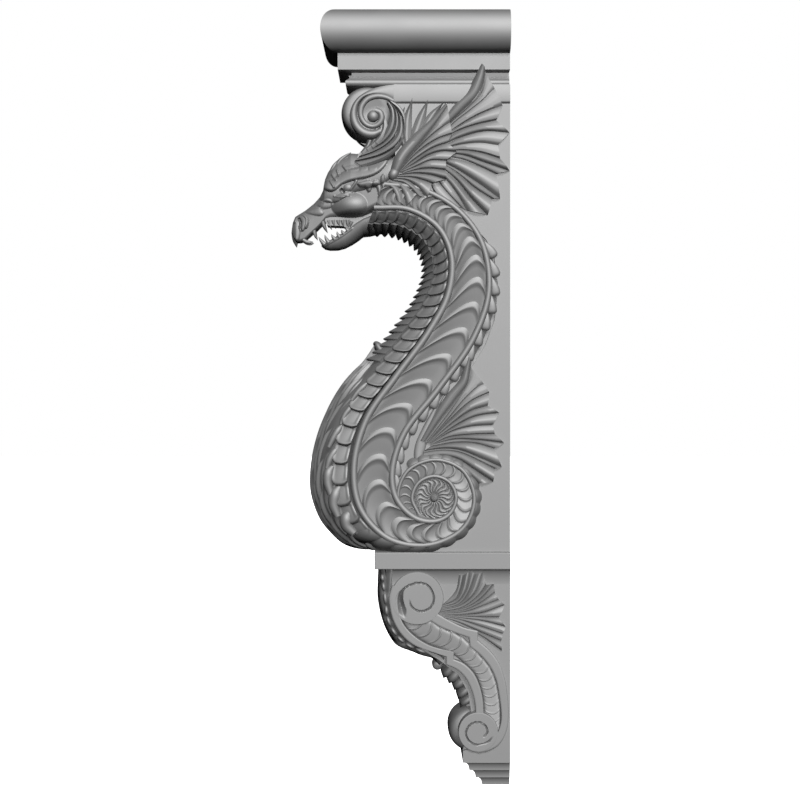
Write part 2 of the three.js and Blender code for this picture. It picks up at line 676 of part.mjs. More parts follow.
// The rounded front of the console: a leaf with a curled tip, stepped scutes and a roll
function consoleFront() {
  const edge = smooth(flat([[-154, 0], [-153, -26], [-156, -46], [-140, -83], [-110, -103], [-88, -112]]));
  const nose = smooth(flat([[-172, 0], [-172, -41], [-161, -84], [-133, -111], [-101, -123], [-90, -131]]));
  const section = (t, lift) => {
    const foot = edge.getPoint(t);
    const tip = nose.getPoint(t);
    return range(7).map((k) => {
      const angle = Math.PI * (k / 6 - 0.5);
      const p = foot.clone().lerp(tip, Math.cos(angle));
      return vec(p.x, (consoleWidth / 2 - 3 + lift) * Math.sin(angle), p.z);
    });
  };
  const back = (t) => edge.getPoint(t).add(vec(10, 0, 4));
  const leaf = loft(range(9).map((k) => {
    const t = k / 8;
    const p = back(t);
    return [...section(t, k % 2 ? 1 : -1), vec(p.x, 30, p.z), vec(p.x, -30, p.z)];
  }));
  const solids = [leaf, roll([-93, -129], 7, -16, 16, 12), roll([-50, -210], 29.5, -34, 34, 22)];
  const steps = [
    [-84, -138, -116], [-78, -148, -126], [-72, -157, -136], [-66, -167, -146], [-62, -180, -158],
  ];
  steps.forEach(([x, low, high]) => {
    const outline = [[x, low], [x + 3, high], [x + 40, high - 4], [x + 34, low - 6]];
    solids.push(prism(outline, -36, 36));
  });
  return solids;
}

const timber = (colour) => new THREE.MeshStandardMaterial({ color: colour, roughness: 0.62, metalness: 0 });

// Each piece is drawn on its own foot or head, brought to its height and set on the one below
function piece(name, solid, colour, base, scale = 1) {
  const shape = solid.getMesh();
  const geometry = new THREE.BufferGeometry();
  const position = Float32Array.from(shape.vertProperties, (value, k) => {
    const sized = value * scale;
    return k % 3 === 2 ? sized + base : sized;
  });
  geometry.setAttribute('position', new THREE.BufferAttribute(position, 3));
  geometry.setIndex([...shape.triVerts]);
  geometry.computeVertexNormals();
  const mesh = new THREE.Mesh(geometry, timber(colour));
  mesh.name = name;
  return mesh;
}

const crownHeight = beadHeight + filletHeight + quirkHeight + fasciaHeight + torusHeight;
const footHeight = coveCount * coveHeight;
const pieces = [footHeight + consoleHeight, ledgeThickness, dragonHeight, crownHeight];
const totalHeight = pieces.reduce((sum, height) => sum + height + glueLine, -glueLine);
const consoleTop = footHeight + consoleHeight - totalHeight / 2;
const ledgeFoot = consoleTop + glueLine;
const dragonFoot = ledgeFoot + ledgeThickness + glueLine;
const crownFoot = dragonFoot + dragonHeight + glueLine;

const group = new THREE.Group();
group.add(
  piece('crown_moulding', buildCrown(), 0xb4b4b4, crownFoot),
  piece('dragon_carving', buildDragon(), 0xa6a6a6, dragonFoot, dragonHeight / drawnDragon),
  piece('ledge_board', buildLedge(), 0xb0b0b0, ledgeFoot),
  piece('scroll_console', buildConsole(), 0xa2a2a2, consoleTop, consoleHeight / drawnConsole),
);

export default group;
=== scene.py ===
import math

import bmesh
import bpy
import numpy as np
from mathutils import Matrix, Vector


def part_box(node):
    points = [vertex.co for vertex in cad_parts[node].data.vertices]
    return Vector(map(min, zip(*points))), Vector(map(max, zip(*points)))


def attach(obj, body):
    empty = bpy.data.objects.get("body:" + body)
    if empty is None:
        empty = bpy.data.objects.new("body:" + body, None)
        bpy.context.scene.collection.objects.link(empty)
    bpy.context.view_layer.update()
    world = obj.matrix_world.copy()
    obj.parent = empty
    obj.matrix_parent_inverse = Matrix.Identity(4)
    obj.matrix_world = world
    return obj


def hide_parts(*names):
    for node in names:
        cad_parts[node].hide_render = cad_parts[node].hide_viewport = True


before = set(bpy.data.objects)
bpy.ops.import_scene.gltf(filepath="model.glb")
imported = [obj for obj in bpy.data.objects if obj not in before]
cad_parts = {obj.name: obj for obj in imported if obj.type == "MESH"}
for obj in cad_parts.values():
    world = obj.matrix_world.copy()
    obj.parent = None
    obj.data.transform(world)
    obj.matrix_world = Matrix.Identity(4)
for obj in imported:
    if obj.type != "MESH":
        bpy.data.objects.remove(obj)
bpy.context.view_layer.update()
print("frame loaded")

# The carvings are drawn in millimetres on their own blocks, then set between the plain boards.
# x runs back to the wall at 0, y across the bracket, z up from the foot of the block.
glueLine = 0.0003
drawnDragon = 601.5
drawnConsole = 249.5
drawnFoot = 31.5        # the three coves under the console
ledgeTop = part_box("ledge_board")[1].z
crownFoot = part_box("crown_moulding")[0].z
consoleLow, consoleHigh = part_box("scroll_console")
dragonSize = (crownFoot - ledgeTop - 2 * glueLine) / drawnDragon
consoleSize = (consoleHigh.z - consoleLow.z) / (drawnConsole + drawnFoot)
dragonPlace = Matrix.Translation((0, 0, ledgeTop + glueLine)) @ Matrix.Scale(dragonSize, 4)
consolePlace = Matrix.Translation((0, 0, consoleHigh.z)) @ Matrix.Scale(consoleSize, 4)
bothSides = (-1, 1)


# Curves, sheets and tubes

def curveThrough(points):
    # a smooth line through points of two numbers or more, the same one the solids are drawn on
    knots = np.array(points, float)
    padded = np.vstack([2 * knots[0] - knots[1], knots, 2 * knots[-1] - knots[-2]])
    gaps = np.sqrt(np.maximum(np.linalg.norm(np.diff(padded[:, :3], axis=0), axis=1), 1e-8))

    def at(t):
        place = np.clip(np.asarray(t, float), 0, 1) * (len(knots) - 1)
        k = np.minimum(place.astype(int), len(knots) - 2)
        w = (place - k)[..., None]
        a, b, c, d = (padded[k + n] for n in range(4))
        ab, bc, cd = (gaps[k + n][..., None] for n in range(3))
        leave = ((b - a) / ab - (c - a) / (ab + bc) + (c - b) / bc) * bc
        arrive = ((c - b) / bc - (d - b) / (bc + cd) + (d - c) / cd) * bc
        return b + w * (leave + w * (3 * (c - b) - 2 * leave - arrive + w * (2 * (b - c) + leave + arrive)))

    return at


def unit(rows):
    return rows / np.maximum(np.linalg.norm(rows, axis=-1, keepdims=True), 1e-9)


def ease(t):
    t = np.clip(t, 0, 1)
    return t * t * (3 - 2 * t)


def addSheet(bm, columns, rows, place, back=None):
    # a grid whose points are moved to place(u, v); with back it is carried down to that y as a block
    made = bmesh.ops.create_grid(bm, x_segments=columns, y_segments=rows, size=0.5)["verts"]
    share = np.array([vert.co[:2] for vert in made]) + 0.5
    for vert, spot in zip(made, place(share[:, 0], share[:, 1])):
        vert.co = spot
    if back is not None:
        faces = list(dict.fromkeys(face for vert in made for face in vert.link_faces))
        block = bmesh.ops.extrude_face_region(bm, geom=faces, use_keep_orig=True)["geom"]
        for vert in block:
            if isinstance(vert, bmesh.types.BMVert):
                vert.co.y = back
    else:
        bmesh.ops.remove_doubles(bm, verts=made, dist=1e-4)


def addTube(bm, route, steps, sides, flutes=0, fluteDepth=0.0, square=1.0):
    # route rows are x, y, z, radius across the path, radius towards the side
    line = curveThrough(route)

    def place(u, v):
        here = line(v)
        along = unit(line(v + 0.002)[:, :3] - line(v - 0.002)[:, :3])
        across = unit(np.cross(along, [0.0, 1.0, 0.0]))
        out = np.cross(across, along)
        turn = 2 * math.pi * u
        groove = 1 + fluteDepth * np.cos(flutes * turn)
        wide, deep = np.cos(turn), np.sin(turn)
        wide = np.sign(wide) * np.abs(wide) ** square
        deep = np.sign(deep) * np.abs(deep) ** square
        sideways = across * (here[:, 3] * wide * groove)[:, None]
        outwards = out * (here[:, 4] * deep * groove)[:, None]
        return here[:, :3] + sideways + outwards

    addSheet(bm, sides, steps, place)


def addBall(bm, centre, radii, turn=0.0, detail=14):
    # an ellipsoid, turned about the across axis
    matrix = Matrix.Translation(centre) @ Matrix.Rotation(turn, 4, "Y") @ Matrix.Diagonal((*radii, 1))
    bmesh.ops.create_uvsphere(bm, u_segments=detail + 6, v_segments=detail, radius=1, matrix=matrix)


def addOutline(bm, outline, back, face, bevel=0.0):
    # a flat shape of [x, z] points, cut square from y = back to y = face, its front arris softened
    ring = bmesh.ops.create_circle(bm, cap_ends=True, segments=len(outline), radius=1)["verts"]
    for vert, (x, z) in zip(ring, outline):
        vert.co = (x, back, z)
    start = list(set.intersection(*(set(vert.link_faces) for vert in ring)))
    made = bmesh.ops.extrude_face_region(bm, geom=start, use_keep_orig=True)["geom"]
    front = [item for item in made if isinstance(item, bmesh.types.BMVert)]
    for vert in front:
        vert.co.y = face
    if bevel:
        edges = dict.fromkeys(edge for vert in front for edge in vert.link_edges)
        arris = [edge for edge in edges if all(vert in front for vert in edge.verts)]
        bmesh.ops.bevel(bm, geom=arris, offset=bevel, segments=2, profile=0.5, affect="EDGES", material=-1)


def routeAt(rows, y, deep=None):
    # rows of x, z, radius laid y to the side, as a route for a tube
    return [[x, y, z, r, r if deep is None else deep] for x, z, r in rows]


def finishPiece(bm, name, node, place, material, sharp=40):
    # closes open ends, turns faces out, brings the drawing to its place and size, in metres
    openEdges = [edge for edge in bm.edges if edge.is_boundary]
    bmesh.ops.holes_fill(bm, edges=openEdges, sides=0)
    bmesh.ops.recalc_face_normals(bm, faces=bm.faces)
    bmesh.ops.transform(bm, matrix=place, verts=bm.verts)
    mesh = bpy.data.meshes.new(name)
    bm.to_mesh(mesh)
    bm.free()
    mesh.shade_smooth()
    mesh.set_sharp_from_angle(angle=math.radians(sharp))
    piece = bpy.data.objects.new(name, mesh)
    bpy.context.collection.objects.link(piece)
    mesh.materials.append(material)
    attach(piece, "root")
    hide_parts(node)
    print(name, sum(len(face.vertices) - 2 for face in mesh.polygons), "triangles")
    return piece


# The finish

def linear(hexColour):
    parts = [int(hexColour[k:k + 2], 16) / 255 for k in (1, 3, 5)]
    return [c / 12.92 if c <= 0.04045 else ((c + 0.055) / 1.055) ** 2.4 for c in parts] + [1]


def setSockets(node, values):
    for socket, value in values:
        node.inputs[socket].default_value = value


def addNode(tree, kind, links=(), values=(), **settings):
    # a node with its settings, (socket, source) links into it and (socket, value) constants
    node = tree.nodes.new(kind)
    for key, value in settings.items():
        setattr(node, key, value)
    for socket, source in links:
        tree.links.new(source, node.inputs[socket])
    setSockets(node, values)
    return node


primerLook = {
    "pale": "#757575",
    "dark": "#6f6f6f",
    "metallic": 0.84,
    "roughness": 0.69,
    "roughnessSpread": 0.03,
    "toolPitch": 0.8,     # mm between passes of the ball cutter
    "toolDepth": 0.02,    # mm
    "toolMarks": 0.15,
    "cloudSize": 40,      # mm
}


def satinPrimer():
    # Machine-carved hardwood under grey graphite primer: an even satin grey, whose fine metal-like
    # pigment gives a broad soft highlight. The ball cutter leaves faint parallel ridges under it.
    material = bpy.data.materials.new("satinPrimer")
    material.use_nodes = True
    tree = material.node_tree
    shader = tree.nodes["Principled BSDF"]
    shader.inputs["Metallic"].default_value = primerLook["metallic"]
    spot = addNode(tree, "ShaderNodeTexCoord").outputs["Object"]
    cloudScale = 1000 / primerLook["cloudSize"]
    cloud = addNode(tree, "ShaderNodeTexNoise", [("Vector", spot)], [("Scale", cloudScale)])
    tones = [(6, linear(primerLook["dark"])), (7, linear(primerLook["pale"]))]
    tone = addNode(tree, "ShaderNodeMix", [(0, cloud.outputs[0])], tones, data_type="RGBA")
    tree.links.new(tone.outputs[2], shader.inputs["Base Color"])
    middle, spread = primerLook["roughness"], primerLook["roughnessSpread"]
    ends = [(3, middle - spread), (4, middle + spread)]
    rough = addNode(tree, "ShaderNodeMapRange", [(0, cloud.outputs[0])], ends)
    tree.links.new(rough.outputs[0], shader.inputs["Roughness"])
    ridges = addNode(tree, "ShaderNodeTexWave", [("Vector", spot)], bands_direction="DIAGONAL")
    ridges.inputs["Scale"].default_value = 1000 / primerLook["toolPitch"] / (2 * math.pi)
    bump = addNode(tree, "ShaderNodeBump", [("Height", ridges.outputs[1])])
    setSockets(bump, [("Strength", primerLook["toolMarks"]), ("Distance", primerLook["toolDepth"] / 1000)])
    tree.links.new(bump.outputs[0], shader.inputs["Normal"])
    return material


primer = satinPrimer()
print("finish made")


# Crown moulding: a half-round over a fascia, a quirk, a fillet, a hollow and a bead, on three sides

crown = {
    "torusHeight": 56,
    "torusBulge": 21.5,
    "fasciaHeight": 21.5,
    "quirkHeight": 4.5,
    "quirkDepth": 17.5,
    "beadHeight": 10,
    "beadDepth": 9.5,
    "filletHeight": 4.5,
    "filletDepth": 15,
    "fillet": [(4.5, 1.6), (2.6, 0.4), (1.8, 0.2), (1.6, 1), (0, 1)],    # below its top, out of the hollow
    "arris": 0.6,
}


def mouldingSheet(bm, profile, reach, width, steps, sideShare=1):
    # profile rows are z, out; the moulding returns round the front and dies into the wall
    table = np.array(profile, float)
    turns = np.array([[0, -1, 0, -1], [-1, -1, -1, -1], [-1, 1, -1, 1], [0, 1, 0, 1]], float)

    def place(u, v):
        k = np.rint(u * 3).astype(int)
        z = np.interp(v, np.linspace(0, 1, len(table)), table[:, 0])
        out = np.interp(v, np.linspace(0, 1, len(table)), table[:, 1])
        wall = turns[k]
        return np.stack([wall[:, 0] * (reach + out), wall[:, 1] * (width / 2 + out * sideShare), z], axis=1)

    addSheet(bm, 3, steps, place)


def arcPoints(count, low, high, bulge, base, until=0.5):
    # a half-round stretch of a profile from z = low to z = high, standing out from base; it may stop
    # before the top, at until half turns past the level
    turns = math.pi * np.linspace(-0.5, until, count)
    return [[(low + high) / 2 + (high - low) / 2 * math.sin(t), base + bulge * math.cos(t)] for t in turns]


def makeCrown():
    low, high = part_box("crown_moulding")
    c = crown
    filletTop = c["beadHeight"] + c["filletHeight"]
    fasciaFoot = filletTop + c["quirkHeight"]
    fasciaTop = fasciaFoot + c["fasciaHeight"]
    centre = -(high.y - low.y) * 500 + c["torusBulge"]
    profile = [[0, centre]]
    hollow = -c["filletDepth"]
    profile += arcPoints(11, 0, c["beadHeight"], c["filletDepth"] - c["beadDepth"], hollow, until=3 / 14)
    profile += [[filletTop - drop, hollow + out] for drop, out in c["fillet"]]
    profile += [[filletTop, -c["quirkDepth"]], [fasciaFoot, -c["quirkDepth"]], [fasciaFoot, -c["arris"]]]
    profile += [[fasciaFoot + c["arris"], 0], [fasciaTop, 0]]
    profile += arcPoints(33, fasciaTop, fasciaTop + c["torusHeight"], c["torusBulge"], 0)
    profile.append([fasciaTop + c["torusHeight"], centre])
    reach = -low.x * 1000 - c["torusBulge"]
    width = (high.y - low.y) * 1000 - 2 * c["torusBulge"]
    bm = bmesh.new()
    mouldingSheet(bm, profile, reach, width, len(profile) - 1)
    place = Matrix.Translation((0, 0, low.z)) @ Matrix.Scale((high.z - low.z) / profile[-1][0], 4)
    finishPiece(bm, "crownMoulding", "crown_moulding", place, primer, sharp=25)


makeCrown()


# The ledge: a plain board with its arrises just broken

def makeLedge():
    low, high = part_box("ledge_board")
    bm = bmesh.new()
    size = high - low
    centre = (high + low) / 2
    bmesh.ops.create_cube(bm, size=1, matrix=Matrix.Translation(centre) @ Matrix.Diagonal((*size, 1)))
    front = [e for e in bm.edges if not all(v.co.x > low.x / 2 for v in e.verts)]
    bmesh.ops.bevel(bm, geom=front, offset=0.0007, segments=2, profile=0.5, affect="EDGES", material=-1)
    finishPiece(bm, "ledgeBoard", "ledge_board", Matrix.Identity(4), primer, sharp=15)


makeLedge()


# The dragon's body. Two lines bound the scaled side: the outer rail towards the round front
# and the inner rail towards the backboard. They run down the neck and belly and into the coil.

body = {
    "outer": [
        [-175, 442], [-131, 440], [-93, 417], [-76, 380], [-80, 331], [-106, 281], [-148, 224],
        [-185, 170], [-201, 108], [-192, 55], [-155, 17], [-103, 10],
    ],
    "inner": [
        [-162, 472], [-116, 466], [-69, 440], [-37, 397], [-28, 335], [-48, 274], [-94, 208],
        [-137, 152], [-152, 102], [-146, 68], [-122, 44], [-96, 40],
    ],
    "reach": [26, 29, 31, 33, 38, 41, 41, 47, 51, 44, 21, 12],
    "coilCentre": (-98, 69.4),
    "coilRing": 28.2,
    "coilOuter": [53.3, 51.5, 51, 49.3, 48.7, 46, 38],    # mm from the centre, each eighth of a turn
    "coilReach": 10,
    "halfWidth": 50,
    "panel": 42,
    "backing": 34,
}
friezeHeight = 24.5


def coilPoint(turn, radius):
    x, z = body["coilCentre"]
    return [x + radius * np.sin(turn), z - radius * np.cos(turn)]


coilTurns = [math.pi / 4 * (k + 1) for k in range(len(body["coilOuter"]))]
outerLine = curveThrough(body["outer"] + [coilPoint(t, r) for t, r in zip(coilTurns, body["coilOuter"])])
innerLine = curveThrough(body["inner"] + [coilPoint(t, body["coilRing"]) for t in coilTurns])
reachRows = body["reach"] + [body["coilReach"]] * len(coilTurns)
reachLine = curveThrough([[50 * k, reach] for k, reach in enumerate(reachRows)])
shares = np.linspace(0, 1, 2401)
middleLine = (outerLine(shares) + innerLine(shares)) / 2
milestones = np.concatenate([[0], np.cumsum(np.linalg.norm(np.diff(middleLine, axis=0), axis=1))])
bodyLength = milestones[-1]
bodyWidths = np.linalg.norm(outerLine(shares) - innerLine(shares), axis=1)


def shareAt(s):
    return np.interp(s, milestones, shares)


def widthAt(s):
    return np.interp(s, milestones, bodyWidths)


def bodyPoint(s, across):
    t = shareAt(s)
    outer, inner = outerLine(t), innerLine(t)
    return outer + (inner - outer) * np.asarray(across)[..., None]


def frontPoint(s, degrees, side, lift):
    # a point on the round front: 0 degrees is at the outer rail and 90 at the middle of the front
    t = shareAt(s)
    edge, inner = outerLine(t), innerLine(t)
    out = unit(edge - inner)
    angle = np.radians(degrees)
    far = (reachLine(t)[..., 1] + lift) * np.sin(angle)
    spot = edge + out * far[..., None]
    y = side * (body["halfWidth"] - 3 + lift) * np.cos(angle)
    return np.stack([spot[..., 0], y * np.ones_like(far), spot[..., 1]], axis=-1)


def walk(start, end, stepAt):
    stops = [start]
    while stops[-1] < end:
        stops.append(stops[-1] + stepAt(stops[-1]))
    return np.array(stops)


scales = {
    # pitch over width along the body, at these distances from the head
    "pitchStops": [0, 60, 110, 250, 400, 480, 530, 590, 805],
    "pitchShares": [0.34, 0.42, 0.58, 0.67, 0.71, 0.66, 0.48, 0.55, 0.56],
    "tipDepth": 0.7,
    "lip": 7.5,           # mm of raised edge
    "lift": 6.5,
    "dome": 1.2,
    "fullWidth": 40,      # mm across, below which the relief shrinks
    "rows": [0, 0.02, 0.05, 0.09, 0.13, 0.17, 0.21, 0.26, 0.34, 0.46, 0.6, 0.76, 0.9, 0.995],
    "columns": 28,
    "peak": 0,            # where each scale stands highest across its width
    "lean": 0.36,         # the tips lean towards the inner rail down the neck
}


rails = {
    "face": body["halfWidth"] - 0.5,
    # share of the line, radius
    "outer": [[0, 3.6], [0.2, 4.6], [0.5, 4.6], [0.62, 3.6], [0.7, 3.1], [0.9, 2.6], [1, 1.2]],
    "inner": [[0, 3.4], [0.2, 4.2], [0.5, 4.4], [0.62, 3.6], [0.7, 2.6], [1, 2.4]],
}


def scaleGrid(bm, starts, columns, side, spotAt, widthHere, look, back):
    # overlapping scales: each row of points follows the round tip of its scale
    rows = look["rows"]
    rowCount = len(rows)
    total = (len(starts) - 1) * rowCount

    def place(u, v):
        w = 2 * u - 1
        k = np.rint(v * total).astype(int)
        i = np.minimum(k // rowCount, len(starts) - 2)
        q = np.array(rows + [1.0])[k - i * rowCount]
        pitch = starts[i + 1] - starts[i]
        width = widthHere(starts[i] + q * pitch)
        size = np.minimum(1, width / look["fullWidth"])
        grown = ease((width - 30) / 10)
        lean = look["lean"] * grown
        far = np.where(w > lean, (w - lean) / (1 - lean), (lean - w) / (1 + lean))
        leg = np.where(w > lean, 1 - 0.15 * lean, 1 + 1.3 * lean) * (0.8 + 0.2 * size)
        blend = 0.4 * grown
        pointed, rounded = far ** 2, 1 - np.sqrt(1 - (0.985 * far) ** 2)
        tip = look["tipDepth"] * width * leg * (blend * pointed + (1 - blend) * rounded)
        s = starts[i] + q * pitch + tip
        lip = np.minimum(look["lip"] * size ** 2 / pitch, 0.4)
        rise = 0.8 + 0.2 * np.sin(math.pi / 2 * np.clip(q / lip, 0, 1))
        down = np.clip((q - lip) / (1 - lip), 0, 1)
        fall = 1 - 0.62 * down - 0.1 * down ** 2 - 0.28 * ease(down / 0.16)
        height = look["lift"] * size * rise * fall * (1 - w ** 8) - 1.5 * w ** 8
        height = height + look["dome"] * size * (1 - ((w - look["peak"]) / (1 + look["peak"])) ** 2)
        spot = spotAt(s, 0.5 + 0.5 * w)
        return np.stack([spot[:, 0], side * (look["face"] + height), spot[:, 1]], axis=1)

    addSheet(bm, columns, total, place, back=side * back)


def addRail(bm, line, face, radii, side, steps=220, sides=12):
    # a round rail along one edge of the scales
    stops, sizes = np.array(radii, float).T
    t = np.linspace(0, 1, 90)
    spots = line(t)
    size = np.interp(t, stops, sizes)
    route = np.column_stack([spots[:, 0], np.full(len(t), side * face), spots[:, 1], size, size])
    addTube(bm, route, steps, sides)


def makeScales():
    bm = bmesh.new()
    look = {**scales, "face": body["halfWidth"] - 2.5}

    def pitch(s):
        return widthAt(s) * np.interp(s, scales["pitchStops"], scales["pitchShares"])

    starts = walk(-6, bodyLength - 6, pitch)
    for side in bothSides:
        scaleGrid(bm, starts, scales["columns"], side, bodyPoint, widthAt, look, 20)
        addRail(bm, outerLine, rails["face"], rails["outer"], side)
        addRail(bm, innerLine, rails["face"], rails["inner"], side)
    finishPiece(bm, "dragonScales", "dragon_carving", dragonPlace, primer)


makeScales()


scutes = {
    # the plates of the front; lengths in mm, lifts above the body
    "thickness": 12,      # down into the body
    "width": 24,
    "widest": 29,         # mm out from the rail, where the front swells
    "rows": [0, 0.1, 0.25, 0.4, 0.52, 0.62, 0.7, 0.77, 0.83, 0.88, 0.925, 0.96, 0.985, 1.0],
    "sideLift": 6,
    "rim": 6.5,
    "rimLift": 1.0,
    "corner": 9,          # mm radius of the free corner
    "keelLift": 11.5,
}


def plateStrip(bm, starts, columns, angles, side, heightAt, bendAt, rows=scutes["rows"], widest=None):
    # a strip of overlapping plates on the round front; each has its own rows, so its lip is a step.
    # With widest it keeps to one width where the front swells.
    rowCount = len(rows)
    total = (len(starts) - 1) * rowCount - 1

    def place(u, v):
        k = np.rint(v * total).astype(int)
        i = k // rowCount
        q = np.array(rows)[k % rowCount]
        pitch = starts[i + 1] - starts[i]
        c = np.rint(u * (columns + 3)).astype(int)
        r = np.select([c <= columns, c == columns + 1, c == columns + 2], [c / columns, 1.0, 0.0], 0.0)
        under = (c == columns + 1) | (c == columns + 2)
        s = starts[i] + q * pitch + bendAt(r) * q
        lift = np.where(under, -scutes["thickness"], heightAt(q, r, pitch))
        first, last = angles
        if widest:
            reach = reachLine(shareAt(s))[..., 1]
            last = np.minimum(last, np.degrees(np.arcsin(np.clip(widest / reach, 0, 1))))
        return frontPoint(s, first + (last - first) * r, side, lift)

    addSheet(bm, columns + 3, total, place)


def makeFront():
    bm = bmesh.new()
    leafStart, sideEnd, tailStart = (bodyLength * share for share in (0.345, 0.66, 0.655))

    def stepsAlong(start, end, stops, steps):
        return walk(start, end, lambda s: float(np.interp(s, stops, steps)))

    def sideHeight(q, r, pitch):
        toLip = (1 - q) * pitch
        toRail = scutes["width"] * r
        toFront = scutes["width"] * (1 - r)
        corner = scutes["corner"]
        roundGap = corner - np.hypot(np.maximum(corner - toFront, 0), np.maximum(corner - toLip, 0))
        near = np.where((toFront < corner) & (toLip < corner), roundGap, np.minimum(toFront, toLip))
        bead = scutes["rimLift"] * np.sin(math.pi * np.clip(near / scutes["rim"], 0, 1))
        bead = np.maximum(bead, 0.8 * np.sin(math.pi * np.clip(toRail / 3.6, 0, 1)))
        edge = -4.5 * np.clip(1 - near / 3, 0, 1.3) ** 2
        return scutes["sideLift"] * (0.1 + 0.9 * ease(q)) + bead + edge

    def keelHeight(q, r, pitch):
        crest = 1 - 0.75 * np.abs(2 * r - 1) ** 1.5
        blunt = 1 - 0.45 * np.clip((q - 0.78) / 0.22, 0, 1) ** 2
        return -1 + scutes["keelLift"] * (0.05 + 0.95 * q ** 0.8) * blunt * crest

    def tailHeight(q, r, pitch):
        return 4 + 2.6 * np.sin(math.pi * np.clip(q, 0.02, 0.98)) ** 0.6

    def bellyHeight(q, r, pitch):
        return -1.5 + 0 * q

    def sideBend(r):
        return -4 * np.abs(2 * r - 1) ** 3

    def keelBend(r):
        return 3 * np.cos(math.pi * (r - 0.5))

    def tailBend(r):
        return -3 * np.sin(math.pi * r)

    stops, steps = [0, 60, 150, 260, 430, 520, 560, 640, 805], [13, 15, 17, 20, 21, 18, 14, 12.5, 9]
    edge = stepsAlong(-2, sideEnd, stops, steps)
    neck = stepsAlong(-4, leafStart + 26, [0, 80, 200, 300], [11, 12.5, 13.5, 14])
    under = stepsAlong(leafStart, tailStart + 20, [0, 1], [40, 40])
    tail = stepsAlong(tailStart, bodyLength - 60, [530, 600, 805], [16, 13, 10])
    for side in bothSides:
        plateStrip(bm, edge, 18, (9, 47), side, sideHeight, sideBend, widest=scutes["widest"])
    plateStrip(bm, neck, 20, (49, 131), 1, keelHeight, keelBend)
    plateStrip(bm, under, 40, (20, 160), 1, bellyHeight, np.zeros_like, rows=[0, 0.25, 0.5, 0.75])
    plateStrip(bm, tail, 44, (8, 172), 1, tailHeight, tailBend)
    finishPiece(bm, "dragonFront", "dragon_carving", dragonPlace, primer)


makeFront()


def makeBoard():
    top = drawnDragon - friezeHeight
    board = [
        [0, 0], [0, top], [-148, top], [-148, 472], [-102, 452], [-55, 428], [-31, 402], [-21, 383],
        [-15.5, 341], [-20, 298], [-32, 266], [-50, 237], [-90, 205], [-130, 160], [-160, 105], [-150, 60],
        [-130, 20], [-105, 0],
    ]
    # thinner wood behind the carving, out to the middle of the body
    backing = [
        [0, 0], [0, top], [-148, top], [-148, 472], [-102, 452], [-75, 430], [-60, 383], [-60, 341],
        [-70, 298], [-90, 250], [-120, 200], [-160, 150], [-170, 105], [-160, 60], [-130, 20], [-105, 0],
    ]
    bm = bmesh.new()
    addOutline(bm, board, -body["panel"], body["panel"])
    addOutline(bm, backing, -body["backing"], body["backing"])
    finishPiece(bm, "dragonBoard", "dragon_carving", dragonPlace, primer)


makeBoard()


# Fins, locks and leaves: ridges run along drawn lines, each ridge leaning over the next

pleatLook = {
    "crest": 0.6,
    "bold": 1.5,
    "perCell": 8,
    "along": 44,
    "narrow": 1.7,    # a ridge keeps its full rise while its cell is this many times as wide
    "flute": 0.35,
}


def addPleats(bm, rays, faces, back, side, look=pleatLook, spar=False):
    # rays run clockwise from the top: ([[x, z], ...], rise of the ridge below it)
    lines = [curveThrough(ray) for ray, rise in rays]
    rises = np.array([max(rise, 0.5) for ray, rise in rays], float)
    cells = len(rays) - 1
    faceLine = curveThrough([[10 * k, face] for k, face in enumerate(faces)])

    def place(u, v):
        spot = u * cells
        k = np.minimum((spot + 1e-6).astype(int), cells - 1)
        w = np.clip(spot - k, 0, 1)
        ends = np.stack([line(v) for line in lines])
        each = np.arange(len(u))
        a, b = ends[k, each], ends[k + 1, each]
        wide = np.linalg.norm(b - a, axis=1)
        xz = a + (b - a) * w[:, None]
        crest = np.where(spar & (k == 0), 0.5, look["crest"])
        up = np.sin(math.pi / 2 * np.clip(w / crest, 0, 1))
        down = np.sqrt(1 - np.clip((w - crest) / (1 - crest), 0, 1) ** 2)
        rise = look["bold"] * rises[k] * np.minimum(1, wide / (look["narrow"] * look["bold"] * rises[k]))
        hairs = look["flute"] * np.minimum(1, wide / 8) * np.sin(3 * math.pi * w) ** 2
        y = faceLine(v)[:, 1] + rise * np.where(w < crest, up, down) - 0.5 * rise + hairs
        return np.stack([xz[:, 0], side * y, xz[:, 1]], axis=1)

    addSheet(bm, cells * look["perCell"], look["along"], place, back=side * back)


earRays = [
    ([[-156, 484], [-148, 509], [-128, 533], [-104, 554], [-83, 576]], 5),
    ([[-143, 488], [-132, 505], [-115, 525], [-98, 547], [-81, 572]], 2.0),
    ([[-143, 488], [-128, 508], [-110, 527], [-93, 541], [-78, 551]], 2.0),
    ([[-142, 489], [-127, 507], [-106, 523], [-91, 531], [-75, 536]], 2.5),
    ([[-142, 488], [-123, 504], [-101, 518], [-81, 525]], 3.2),
    ([[-143, 488], [-125, 498], [-104, 510], [-88, 514], [-69, 513]], 2.5),
    ([[-139, 488], [-121, 495], [-104, 502], [-83, 502]], 2.5),
    ([[-138, 486], [-119, 491], [-101, 492], [-83, 490]], 4.5),
    ([[-144, 484], [-124, 486], [-104, 484], [-83, 478]], 3),
    ([[-147, 482], [-127, 481], [-111, 477], [-101, 473]], 4.5),
    ([[-149, 480], [-132, 477], [-119, 467], [-107, 453]], 3),
    ([[-152, 477], [-139, 474], [-129, 467], [-121, 458]], 4.5),
    ([[-156, 475], [-144, 470], [-138, 459], [-134, 443]], 3.5),
    ([[-161, 472], [-153, 466], [-149, 459], [-147, 452]], 0),
]
